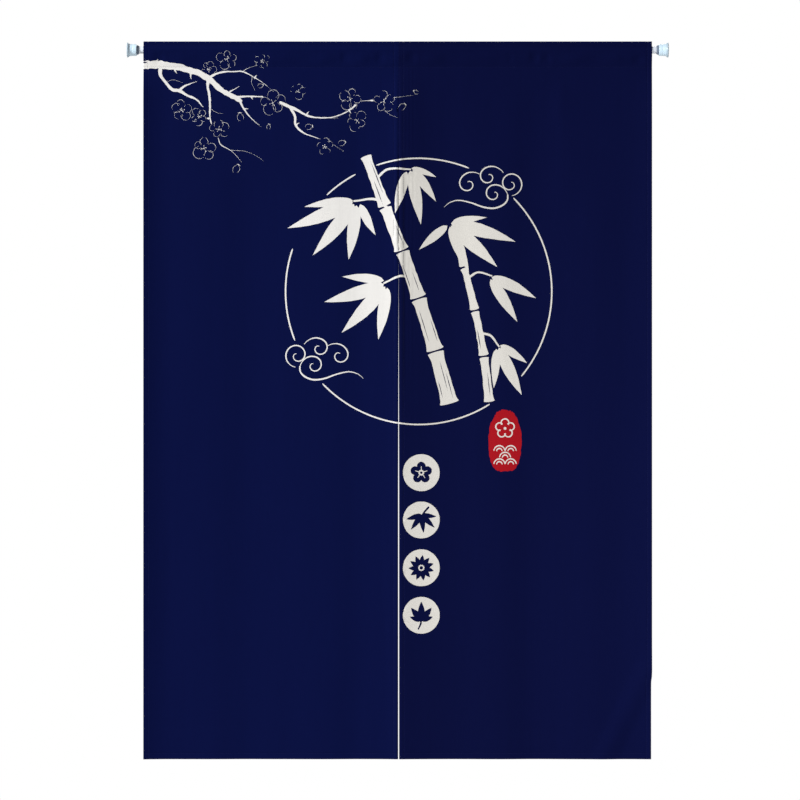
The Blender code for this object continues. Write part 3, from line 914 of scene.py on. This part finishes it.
def printOutlines():
    shapes = ringOutlines() + cloudOutlines() + bambooOutlines() + branchOutlines()
    shapes += discOutlines() + stampOutlines()
    return [(ink, np.stack([cloth["left"] + outline[:, 0], lengthAtDrop(outline[:, 1])], axis=1))
            for ink, outline in shapes]


def inkAt(points, shapes):
    # The ink of each point is that of the last outline that winds round it.
    ink = np.zeros(len(points), np.int32)
    for colour, outline in shapes:
        within = (points > outline.min(axis=0)) & (points < outline.max(axis=0))
        near = np.flatnonzero(within.all(axis=1))
        if len(near) == 0:
            continue
        p = points[near][:, None, :]
        a = outline[None, :, :]
        b = np.roll(outline, -1, axis=0)[None, :, :]
        edge = b - a
        turn = edge[..., 0] * (p[..., 1] - a[..., 1]) - (p[..., 0] - a[..., 0]) * edge[..., 1]
        upward = (a[..., 1] <= p[..., 1]) & (b[..., 1] > p[..., 1]) & (turn > 0)
        downward = (a[..., 1] > p[..., 1]) & (b[..., 1] <= p[..., 1]) & (turn < 0)
        ink[near[upward.sum(axis=1) != downward.sum(axis=1)]] = colour
    return ink


printShapes = printOutlines()
print("print drawn:", len(printShapes), "outlines")

weave = {
    "pitch": 1.1,           # thread spacing: twice the real one, so that it shows close up
    "relief": 0.05,
    # thick places in the yarns down and across, wider than real ones for the same reason, and broad
    # bands of the dye: width, length, detail, share of the shade
    "slubs": [(2.3, 46.0, 3.0, 1.0), (32.2, 1.84, 2.0, 0.45), (9.0, 260.0, 1.0, 0.6)],
    "streaky": {"ground": 0.12, "cream": 0.09, "red": 0.09},    # how much they change each ink
}


def wovenCloth(name, colour, streaky):
    # Plain-woven cotton and linen with pigment print: matte, with faint streaks where yarns thicken, a
    # little paler where hems and edges rub, and darker with painted shade in the seam and along its hem
    # line.
    material, tree = newMaterial(name)
    place = addNode(tree, "ShaderNodeUVMap", {"uv_map": "weave"})
    inMm = addNode(tree, "ShaderNodeMapping", {"Scale": (1 / mm, 1 / mm, 1.0)}, {"Vector": (place, "UV")})
    threads = []
    for direction in ("X", "Y"):        # bands of scale 1 repeat every 0.314
        bands = addNode(tree, "ShaderNodeTexWave", {
            "wave_type": "BANDS", "bands_direction": direction, "wave_profile": "SIN",
            "Scale": 0.314 / weave["pitch"], "Distortion": 0.6, "Detail": 1.0, "Detail Scale": 0.5,
        }, {"Vector": (inMm, "Vector")})
        threads.append((bands, "Fac"))
    grid = addMath(tree, "MULTIPLY", *threads)

    total = addMath(tree, "MULTIPLY_ADD", grid, 0.1, 0.93)
    noises = []
    for wide, long, detail, share in weave["slubs"]:
        scale = (1 / (wide * mm), 1 / (long * mm), 1.0)
        scaled = addNode(tree, "ShaderNodeMapping", {"Scale": scale}, {"Vector": (place, "UV")})
        noise = addNode(tree, "ShaderNodeTexNoise", {
            "Scale": 1.0, "Detail": detail, "Roughness": 0.6,
        }, {"Vector": (scaled, "Vector")})
        noises.append((noise, "Fac"))
        total = addMath(tree, "MULTIPLY", total, aroundOne(tree, noises[-1], streaky * share))
    # The worn attribute makes the cloth paler where rubbed and darker with painted shade in the seam and
    # along its hem line.
    worn = addNode(tree, "ShaderNodeAttribute", {"attribute_name": "worn"})
    total = addMath(tree, "MULTIPLY", total, addMath(tree, "ADD", (worn, "Fac"), 1.0))
    height = addMath(tree, "MULTIPLY_ADD", noises[0], 0.8, grid)
    finishSurface(tree, scaledColour(tree, colour, total), height,
                  {"Strength": 0.6, "Distance": weave["relief"] * mm},
                  {"Roughness": 0.92, "Specular IOR Level": 0.02})
    return material


clothColours = {
    # front and back of each ink on each panel; the right panel's colours are darker than the left's as
    # painted shade
    "left": {
        "ground": ("#080f3b", "#111647"), "cream": ("#e2e0dd", "#d3d1ce"), "red": ("#a1151e", "#983339"),
    },
    "right": {
        "ground": ("#080d35", "#10153f"), "cream": ("#d0cdc7", "#c3c0bb"), "red": ("#9d151e", "#943239"),
    },
}


def clothMaterials(side):
    materials = []
    # The right panel's copies carry painted shade: its colours are darker than the left's.
    for face, where in enumerate(("front", "back")):
        for ink in inkNames:
            colour = clothColours[side][ink][face]
            materials.append(wovenCloth(f"{ink}Cotton_{side}_{where}", colour, weave["streaky"][ink]))
    return materials


def stations(keys, steps):  # places between the keys, about a step apart
    parts = [np.linspace(a, b, max(1, int(round(abs(b - a) / step))) + 1)[:-1]
             for a, b, step in zip(keys, keys[1:], steps)]
    return np.concatenate(parts + [[keys[-1]]])


# The lines that a panel is cut along, closer together where the cloth bends more.
gridLines = {
    # distances from a turned edge
    "edge": [0.0, 0.12, 0.25, 0.42],
    "sideHem": [0.9, 2.0, 3.5, 5.0, 6.4, 7.3, 8.0, 8.7, 9.8, 12.0],
    "bottomHem": [0.9, 2.0, 4.0, 6.0, 8.0, 9.3, 10.0, 10.7],
    # steps: beside the hem and further on, down the front, and up the back
    "across": (1.3, 6.4),
    "down": (0.3, 1.2, 0.4, 0.9, 1.6, 0.5, 3.2, 9.0),
    "upTheBack": (2.2, 0.9, 0.5, 1.6, 0.3),
    "rippled": 24.0,                # how far the steps stay fine where there are ripples
    "topFold": 1.6,                 # length of cloth that bends over the top, on each side
    "byStitches": 1.2,              # lines beside the heading's stitches, and beside the pocket's
    "byPocket": 1.5,
    "belowPocket": -60.0,           # heights under which the steps grow, and stop over the bottom hem
    "overHem": 13.0,
    "weld": 0.02,                   # points nearer to each other than this become one
}


def panelColumns(panel):
    edge = np.array(gridLines["edge"] + gridLines["sideHem"])
    low = panel["low"] + edge
    high = panel["high"] - edge[::-1]
    fine = gridLines["rippled"] if panel["rippled"] else gridLines["across"][0]
    middle = stations((low[-1], low[-1] + fine, high[0]), gridLines["across"])[1:-1]
    return np.concatenate([low, middle, high])


def panelRows():
    over, under = cloth["headingSeam"], -cloth["pocketSeam"]
    byStitches, byPocket = gridLines["byStitches"], gridLines["byPocket"]
    heights = (over + byStitches, over - byStitches, 0.0, under + byPocket, under - byPocket,
               gridLines["belowPocket"], cloth["bottom"] + gridLines["overHem"])
    front = [float(lengthAtDrop(cloth["top"] - z)) for z in heights]
    fold = gridLines["topFold"]
    down = stations([0.0, fold] + front, gridLines["down"])
    backKeys = [-pathStart - 0.9, front[2], front[1], front[0], fold, 0.0]
    back = -stations(backKeys, gridLines["upTheBack"])[:-1]
    backEdge = pathStart + np.array(gridLines["edge"])
    edge = np.array(gridLines["edge"] + gridLines["bottomHem"])
    return np.concatenate([backEdge, back, down, pathEnd - edge[::-1]])


wearAndPaintedShade = {
    "edge": 0.12,           # share by which a turned edge is rubbed paler, and its reach
    "edgeReach": 0.7,
    "ridge": 0.06,          # the same along the ridge of a hem, inside its stitches
    "ridgeFrom": 1.8,
    "ridgeReach": 1.0,
    "seam": -0.22,          # painted shade, darker down in the sewn seam's groove and along its hem line
    "paintedHemLineShade": -0.42,
    "hemLineAt": 8.5,
    "hemLineReach": 1.3,
    "hemLineEnd": (-640.0, 200.0),      # its lower end, and the height over which it fades
    "seamReach": 0.8,       # reach of the painted seam shade, as a share of the width that rolls into the seam
    "unrubbed": 12.0,       # the sewn edges aren't rubbed, this far in
}


def wearAndPaintedShadeAt(x, s, panel):  # how much paler where rubbed or, below 0, how much darker with painted shade in the seam and along its hem line
    z = np.interp(s, pathS, pathZ)
    _, _, fromSlit, fromSide = edgeDistances(x, panel)
    edge = np.exp(-(np.minimum(fromSide, pathEnd - s) / wearAndPaintedShade["edgeReach"]) ** 2)
    ridge = np.exp(-((fromSide - cloth["sideHem"] + wearAndPaintedShade["ridgeFrom"]) / wearAndPaintedShade["ridgeReach"]) ** 2)
    sewn = sewnShare(z) * (s > 0.0)
    shade = wearAndPaintedShade["edge"] * edge * (1.0 - sewn * (fromSlit < wearAndPaintedShade["unrubbed"])) + wearAndPaintedShade["ridge"] * ridge
    # Painted shade down in the sewn seam's groove.
    paintedSeamShade = np.exp(-(fromSlit / (wearAndPaintedShade["seamReach"] * panel["seamWidth"])) ** 2)
    shade = shade + wearAndPaintedShade["seam"] * paintedSeamShade * sewn
    # Painted shade along the right panel's hem line beside the seam.
    if panel["rippled"]:
        end, fade = wearAndPaintedShade["hemLineEnd"]
        line = np.exp(-((fromSlit - wearAndPaintedShade["hemLineAt"]) / wearAndPaintedShade["hemLineReach"]) ** 2)
        shade = shade + wearAndPaintedShade["paintedHemLineShade"] * line * deepening(z) * smoothStep((z - end) / fade) * (s > 0.0)
    return shade


def buildPanel(side):
    # Flat cloth is cut into triangles along its grid and along every outline of the print. Both skins
    # are those triangles, bent to the hanging shape, and a rim closes them.
    panel = panels[side]
    gridX, gridS = np.meshgrid(panelColumns(panel), panelRows())
    points = [np.stack([gridX.ravel(), gridS.ravel()], axis=1)]
    index = np.arange(gridX.size).reshape(gridX.shape)
    border = np.concatenate([index[0], index[1:, -1], index[-1, -2::-1], index[-2:0:-1, 0]])
    edges = list(zip(border.tolist(), np.roll(border, -1).tolist()))
    shapes = [(ink, outline) for ink, outline in printShapes
              if outline[:, 0].max() > panel["low"] and outline[:, 0].min() < panel["high"]]
    start = gridX.size
    for _, outline in shapes:
        loop = np.arange(start, start + len(outline))
        edges += list(zip(loop.tolist(), np.roll(loop, -1).tolist()))
        points.append(outline)
        start += len(outline)
    corners = [Vector(point) for point in np.vstack(points)]
    found = delaunay_2d_cdt(corners, edges, [], 0, gridLines["weld"], False)
    flat = np.array([tuple(point) for point in found[0]])
    faces = np.array([tuple(face) for face in found[2]])
    centre = flat[faces].mean(axis=1)
    inside = ((centre[:, 0] > panel["low"]) & (centre[:, 0] < panel["high"])
              & (centre[:, 1] > pathStart) & (centre[:, 1] < pathEnd))
    used, faces = np.unique(faces[inside], return_inverse=True)
    faces = faces.reshape(-1, 3)[:, ::-1]       # flat cloth is seen from behind in these axes
    x = np.clip(flat[used, 0], panel["low"], panel["high"])
    s = np.clip(flat[used, 1], pathStart, pathEnd)
    count = len(x)
    ink = inkAt(centre[inside], shapes)
    ink[centre[inside][:, 1] < 0.0] = ground

    sides = np.concatenate([faces[:, [0, 1]], faces[:, [1, 2]], faces[:, [2, 0]]]).astype(np.int64)
    rim = sides[~np.isin(sides[:, 0] * count + sides[:, 1], sides[:, 1] * count + sides[:, 0])]
    rimFaces = np.concatenate([
        np.stack([rim[:, 1], rim[:, 0], rim[:, 0] + count], axis=1),
        np.stack([rim[:, 1], rim[:, 0] + count, rim[:, 1] + count], axis=1),
    ])
    allFaces = np.concatenate([faces, faces[:, ::-1] + count, rimFaces])
    slots = np.concatenate([ink, ink + len(inkNames), np.zeros(len(rimFaces), np.int32)])
    skins = np.vstack([clothSurface(x, s, panel, 1), clothSurface(x, s, panel, -1)])
    piece = makePiece(f"cloth_{side}", skins, allFaces.tolist(), clothMaterials(side), slots)
    mesh = piece.data
    corner = np.empty(len(mesh.loops), np.int32)
    mesh.loops.foreach_get("vertex_index", corner)
    flatBoth = np.vstack([np.stack([x, s], axis=1)] * 2) * mm
    mesh.uv_layers.new(name="weave").data.foreach_set("uv", flatBoth[corner].astype(np.float32).ravel())
    # Worn: rubbed wear, and painted shade in the seam and along its hem line.
    worn = mesh.attributes.new("worn", "FLOAT", "POINT")
    worn.data.foreach_set("value", np.tile(wearAndPaintedShadeAt(x, s, panel), 2).astype(np.float32))
    normals = np.vstack([clothNormals(x, s, panel, 1), clothNormals(x, s, panel, -1)])
    mesh.normals_split_custom_set_from_vertices(normals.tolist())
    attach(piece, "root")
    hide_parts(f"panel_{side}")
    print(piece.name, len(allFaces), "triangles")
    return piece


sewing = {
    "length": 2.5,
    "pitch": 3.4,
    "thread": 0.32,
    "inset": 3.0,           # from a panel's edge or the top fold to the first stitch of a row
    "underPocket": 4.0,     # the same at the back, under the pocket's turned edge
    "overEnd": 2.0,         # upright rows stop this far over the lower edge
    "seamPitch": 6.5,       # of the small stitches across the sewn part of the middle seam
    "seamStart": 4.0,       # how far under the top they start, and how far over the slit they stop
    "seamStop": 3.0,
    "seamReach": 1.2,       # how far they reach into each panel
    "seamTilt": 2.0,        # how far into the left panel they take the cloth's tilt
    "tackPitch": 0.7,       # closer together over the last few, where the slit begins
    "tackHeight": 4.0,
}


def sewingThread():
    # Spun polyester thread in the cloth's navy, with a low sheen and a fine twist.
    material, tree = newMaterial("navySewingThread")
    place = addNode(tree, "ShaderNodeTexCoord")
    twist = addNode(tree, "ShaderNodeTexNoise", {
        "Scale": 900.0, "Detail": 2.0,
    }, {"Vector": (place, "Object")})
    tint = addNode(tree, "ShaderNodeMixRGB", {
        1: hexToLinear("#0a0f36"), 2: hexToLinear("#161d52"),
    }, {0: (twist, "Fac")})
    finishSurface(tree, (tint, 0), (twist, "Fac"), {"Strength": 0.5, "Distance": 0.05 * mm},
                  {"Roughness": 0.62, "Specular IOR Level": 0.15})
    return material


def stitchMesh(start, end, normal):
    # A grain of thread from start to end: four rings of five, closed at both tips, dipping at its ends.
    centre = (start + end) / 2
    along = end - start
    half = np.linalg.norm(along, axis=1)[:, None] / 2
    along = along / (2 * half)
    across = np.cross(normal, along)
    up = np.cross(along, across)
    place = np.array([-1.0, -0.8, -0.3, 0.3, 0.8, 1.0])
    radius = sewing["thread"] / 2 * np.array([0.0, 0.75, 1.0, 1.0, 0.75, 0.0])
    lift = np.array([-0.3, -0.12, 0.06, 0.06, -0.12, -0.3])
    turn = np.linspace(0.0, 2.0 * math.pi, 5, endpoint=False)
    rows = []
    for k, (p, r, h) in enumerate(zip(place, radius, lift)):
        angles = turn if 0 < k < 5 else turn[:1]
        middle = centre + along * half * p + up * h
        rows.append(middle[:, None, :] + r * np.cos(angles)[None, :, None] * across[:, None, :]
                    + r * np.sin(angles)[None, :, None] * up[:, None, :])
    points = np.concatenate(rows, axis=1)               # 1 + 4 * 5 + 1 points for each stitch
    k = np.arange(5)
    after = (k + 1) % 5
    quads = []
    for first in (1, 6, 11):                            # first point of each ring that another follows
        quads.append(np.stack([first + k, first + after, first + 5 + after, first + 5 + k], axis=1))
    tips = np.concatenate([np.stack([np.zeros(5, int), 1 + after, 1 + k], axis=1),
                           np.stack([np.full(5, 21), 16 + k, 16 + after], axis=1)])
    shift = 22 * np.arange(len(start))
    bodyFaces = (np.concatenate(quads)[None] + shift[:, None, None]).reshape(-1, 4)
    tipFaces = (tips[None] + shift[:, None, None]).reshape(-1, 3)
    return points.reshape(-1, 3), bodyFaces.tolist() + tipFaces.tolist()


def stitchRows(panel):
    # Places of every stitch in flat cloth: x, s, half step in x and in s, and the skin that it lies on.
    pitch = sewing["pitch"]
    half = sewing["length"] / 2
    across = np.arange(panel["low"] + sewing["inset"], panel["high"] - sewing["inset"], pitch)
    jobs = []
    for z in (cloth["headingSeam"], -cloth["pocketSeam"]):
        s = float(lengthAtDrop(cloth["top"] - z))
        jobs += [(across, s, half, 0.0, 1), (across, -s, half, 0.0, 1)]
    backTop = float(lengthAtDrop(cloth["top"] - cloth["pocketEnd"])) + sewing["underPocket"]
    for side, top in ((1, sewing["inset"]), (-1, backTop)):
        down = np.arange(top, pathEnd - sewing["overEnd"], pitch)
        jobs.append((across, pathEnd - cloth["bottomHem"], half, 0.0, side))
        jobs.append((panel["low"] + cloth["sideHem"], down, 0.0, half, side))
        jobs.append((panel["high"] - cloth["sideHem"], down, 0.0, half, side))
    return np.concatenate([np.stack(np.broadcast_arrays(*job), axis=1) for job in jobs])


def buildStitches(side):
    panel = panels[side]
    rows = stitchRows(panel)
    starts, ends, normals = [], [], []
    for face in (1, -1):
        x, s, dx, ds, _ = rows[rows[:, 4] == face].T
        starts.append(clothSurface(x - dx, s - ds, panel, face))
        ends.append(clothSurface(x + dx, s + ds, panel, face))
        normals.append(clothNormals(x, s, panel, face))
    if side == "left":
        # Small stitches across the seam, close together where the slit begins.
        tacks = cloth["sewnTo"] + np.arange(0.0, sewing["tackHeight"], sewing["tackPitch"])
        first, last = cloth["top"] - sewing["seamStart"], cloth["sewnTo"] + sewing["seamStop"]
        z = np.arange(first, last, -sewing["seamPitch"])
        s = lengthAtDrop(cloth["top"] - np.concatenate([z, tacks]))
        other = panels["right"]
        starts.append(clothSurface(np.full_like(s, panel["high"] - sewing["seamReach"]), s, panel, 1))
        ends.append(clothSurface(np.full_like(s, other["low"] + sewing["seamReach"]), s, other, 1))
        normals.append(clothNormals(np.full_like(s, panel["high"] - sewing["seamTilt"]), s, panel, 1))
    points, faces = stitchMesh(np.concatenate(starts), np.concatenate(ends), np.concatenate(normals))
    piece = makePiece(f"stitches_{side}", points, faces, [threadMaterial])
    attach(piece, "root")
    print(piece.name, len(faces), "faces")
    return piece


threadMaterial = sewingThread()
for side, panel in panels.items():
    piece = buildPanel(side)
    stitches = buildStitches(side)

fittings = {
    "footLength": 16.0,
    "barrel": 9.8,
    "socketFloor": 5.0,
    "bore": 6.1,
    "collarStart": 16.3,
    "collarLength": 3.7,
    "sides": 96,
    "footColour": "#daf0ff",
    "footDeep": "#cde6f7",
    "paintedLipShade": {"left": 0.68, "right": 0.52},      # how far each foot's lip is darkened as painted shade, more on the right foot
    "lipFrom": 3.2,
    "lipTo": 5.6,
    "rodColour": "#dfe5ef",
    "collarColour": "#6a7688",
}


def filleted(corners, steps=4):
    # A profile of (x, radius, rounding) rows, with every corner swung round a small curve.
    rows = [corners[0][:2]]
    for before, here, after in zip(corners, corners[1:], corners[2:]):
        point = np.array(here[:2])
        toBefore = np.array(before[:2]) - point
        toAfter = np.array(after[:2]) - point
        reach = min(here[2], 0.45 * np.linalg.norm(toBefore), 0.45 * np.linalg.norm(toAfter))
        a = point + toBefore / np.linalg.norm(toBefore) * reach
        b = point + toAfter / np.linalg.norm(toAfter) * reach
        t = np.linspace(0.0, 1.0, steps + 1)[:, None]
        rows += ((1 - t) ** 2 * a + 2 * t * (1 - t) * point + t ** 2 * b).tolist()
    return np.array(rows + [corners[-1][:2]])


def turnedShape(profile, place, mirror, sides):
    # Profile of (x, radius) carried round the rod's axis. Ends on the axis close to a point, and a
    # profile that ends where it starts closes to a ring.
    angle = np.linspace(0.0, 2.0 * math.pi, sides, endpoint=False)
    points = np.stack([
        np.repeat(place + mirror * profile[:, 0], sides),
        (profile[:, 1][:, None] * np.cos(angle)[None, :]).ravel(),
        (profile[:, 1][:, None] * np.sin(angle)[None, :]).ravel(),
    ], axis=1)
    grid = np.arange(len(points)).reshape(len(profile), sides)
    onAxis = profile[:, 1] < 1e-6
    grid[onAxis] = grid[onAxis][:, :1]
    if np.allclose(profile[0], profile[-1]):
        grid[-1] = grid[0]
    after = np.roll(grid, -1, axis=1)
    quads = np.stack([grid[:-1], after[:-1], after[1:], grid[1:]], axis=2).reshape(-1, 4)
    if mirror < 0:
        quads = quads[:, ::-1]
    used, numbers = np.unique(quads, return_inverse=True)
    return points[used], [list(dict.fromkeys(quad)) for quad in numbers.reshape(-1, 4).tolist()]


def mouldedPlastic(name, f, span, paintedLipShade):
    # Injection-moulded plastic of ice blue: smooth, softly glossy, a shade deeper in places, and darker
    # towards the lip as painted shade.
    material, tree = newMaterial(name)
    place = addNode(tree, "ShaderNodeTexCoord")
    onPiece = {"Vector": (place, "Object")}
    cloudy = addNode(tree, "ShaderNodeTexNoise", {"Scale": 220.0, "Detail": 2.0}, onPiece)
    mixed = addNode(tree, "ShaderNodeMixRGB", {
        1: hexToLinear(f["footColour"]), 2: hexToLinear(f["footDeep"]),
    }, {0: (cloudy, "Fac")})
    parts = addNode(tree, "ShaderNodeSeparateXYZ", None, {0: (place, "Object")})
    fromMiddle = addMath(tree, "ABSOLUTE", addMath(tree, "SUBTRACT", (parts, "X"), span / 2 * mm))
    # Painted shade towards the lip.
    lip = addNode(tree, "ShaderNodeMapRange", {
        "From Min": (span / 2 - f["lipTo"]) * mm, "From Max": (span / 2 - f["lipFrom"]) * mm,
        "To Min": 1.0, "To Max": paintedLipShade,
    }, {"Value": fromMiddle})
    tint = addNode(tree, "ShaderNodeVectorMath", {
        "operation": "SCALE",
    }, {0: (mixed, 0), "Scale": (lip, "Result")})
    grain = addNode(tree, "ShaderNodeTexNoise", {"Scale": 2600.0, "Detail": 1.0}, onPiece)
    finishSurface(tree, (tint, 0), (grain, "Fac"), {"Strength": 0.12, "Distance": 0.02 * mm},
                  {"Roughness": 0.32, "IOR": 1.46})
    return material


def grainedFinish(name, colour, noise, depth, bump, surface):
    # One colour, lighter and darker by half of depth with a fine grain that is also its relief.
    material, tree = newMaterial(name)
    place = addNode(tree, "ShaderNodeTexCoord")
    grain = (addNode(tree, "ShaderNodeTexNoise", noise, {"Vector": (place, "Object")}), "Fac")
    tint = scaledColour(tree, colour, aroundOne(tree, grain, depth))
    finishSurface(tree, tint, grain, bump, surface)
    return material


def buildFittings():
    f = fittings
    span = nodeBox("foot_right")[1][0]
    lip = nodeBox("foot_left")[1][2]
    barrel, bore, end = f["barrel"], f["bore"], f["footLength"]
    footProfile = filleted([
        (0.0, 0.0, 0.0), (0.0, lip, 0.7), (1.9, lip, 0.7), (3.4, lip - 1.7, 1.2), (5.2, barrel + 0.15, 2.0),
        (8.6, barrel, 0.4), (8.9, barrel - 0.25, 0.2), (9.6, barrel - 0.25, 0.2), (9.9, barrel - 0.05, 0.4),
        (end, barrel - 0.2, 0.35), (end, bore, 0.3), (f["socketFloor"], bore, 0.3),
        (f["socketFloor"], 0.0, 0.0),
    ])
    start = f["collarStart"]
    end = start + f["collarLength"]
    middle = ((start + end) / 2, bore, 0.0)
    collarProfile = filleted([
        middle, (start, bore, 0.2), (start, 8.0, 0.45), (start + 0.9, 8.0, 0.5), (end - 0.1, 6.95, 0.4),
        (end, bore, 0.2), middle,
    ])
    rodEnd, radius = f["socketFloor"] + 0.3, cloth["rodRadius"]
    rodProfile = filleted([(rodEnd, 0.0, 0.0), (rodEnd, radius, 0.4), (span - rodEnd, radius, 0.4),
                           (span - rodEnd, 0.0, 0.0)])
    # White enamel baked on steel tube: glossy, with a faint orange-peel ripple.
    enamel = grainedFinish("whiteBakedEnamel", f["rodColour"], {"Scale": 700.0, "Detail": 1.0}, 0.05,
                           {"Strength": 0.15, "Distance": 0.03 * mm}, {"Roughness": 0.25, "IOR": 1.5})
    # Slate rubber: dull, with fine dusty mottling.
    rubber = grainedFinish("slateMouldedRubber", f["collarColour"], {"Scale": 900.0, "Detail": 3.0}, 0.3,
                           {"Strength": 0.3, "Distance": 0.03 * mm},
                           {"Roughness": 0.68, "Specular IOR Level": 0.25})
    jobs = [("turnedRod", "rod", "rod_enamel", rodProfile, enamel, 0.0, 1.0)]
    for side, place, mirror in (("left", 0.0, 1.0), ("right", span, -1.0)):
        # Each foot's copy differs only in how deep its painted lip shade is.
        plastic = mouldedPlastic(f"iceBlueMouldedPlastic_{side}", f, span, f["paintedLipShade"][side])
        for name, node, slot, profile, material in (
            ("cupFoot", "foot", "foot_plastic", footProfile, plastic),
            ("ringCollar", "collar", "collar_rubber", collarProfile, rubber),
        ):
            jobs.append((f"{name}_{side}", f"{node}_{side}", slot, profile, material, place, mirror))
    for name, node, slot, profile, material, place, mirror in jobs:
        points, faces = turnedShape(profile, place, mirror, f["sides"])
        piece = makePiece(name, points, faces, [material])
        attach(piece, "root")
        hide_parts(node)
    print("rod, feet and collars turned")


buildFittings()


def addFloor():  # a round floor of matte paint
    angle = np.linspace(0.0, 2.0 * math.pi, 96, endpoint=False)
    radius = studio["floorRadius"]
    z = np.full(96, cloth["bottom"] - studio["floorDrop"])
    rim = np.stack([studio["aim"][0] + radius * np.cos(angle), radius * np.sin(angle), z], axis=1)
    material, tree = newMaterial("paleStudioFloor")
    shader = addNode(tree, "ShaderNodeBsdfPrincipled", {
        "Base Color": hexToLinear("#e6e5e2"), "Roughness": 0.8,
    })
    addNode(tree, "ShaderNodeOutputMaterial", None, {"Surface": (shader, 0)})
    makePiece("studioFloor", rim, [list(range(96))], [material])


addFloor()
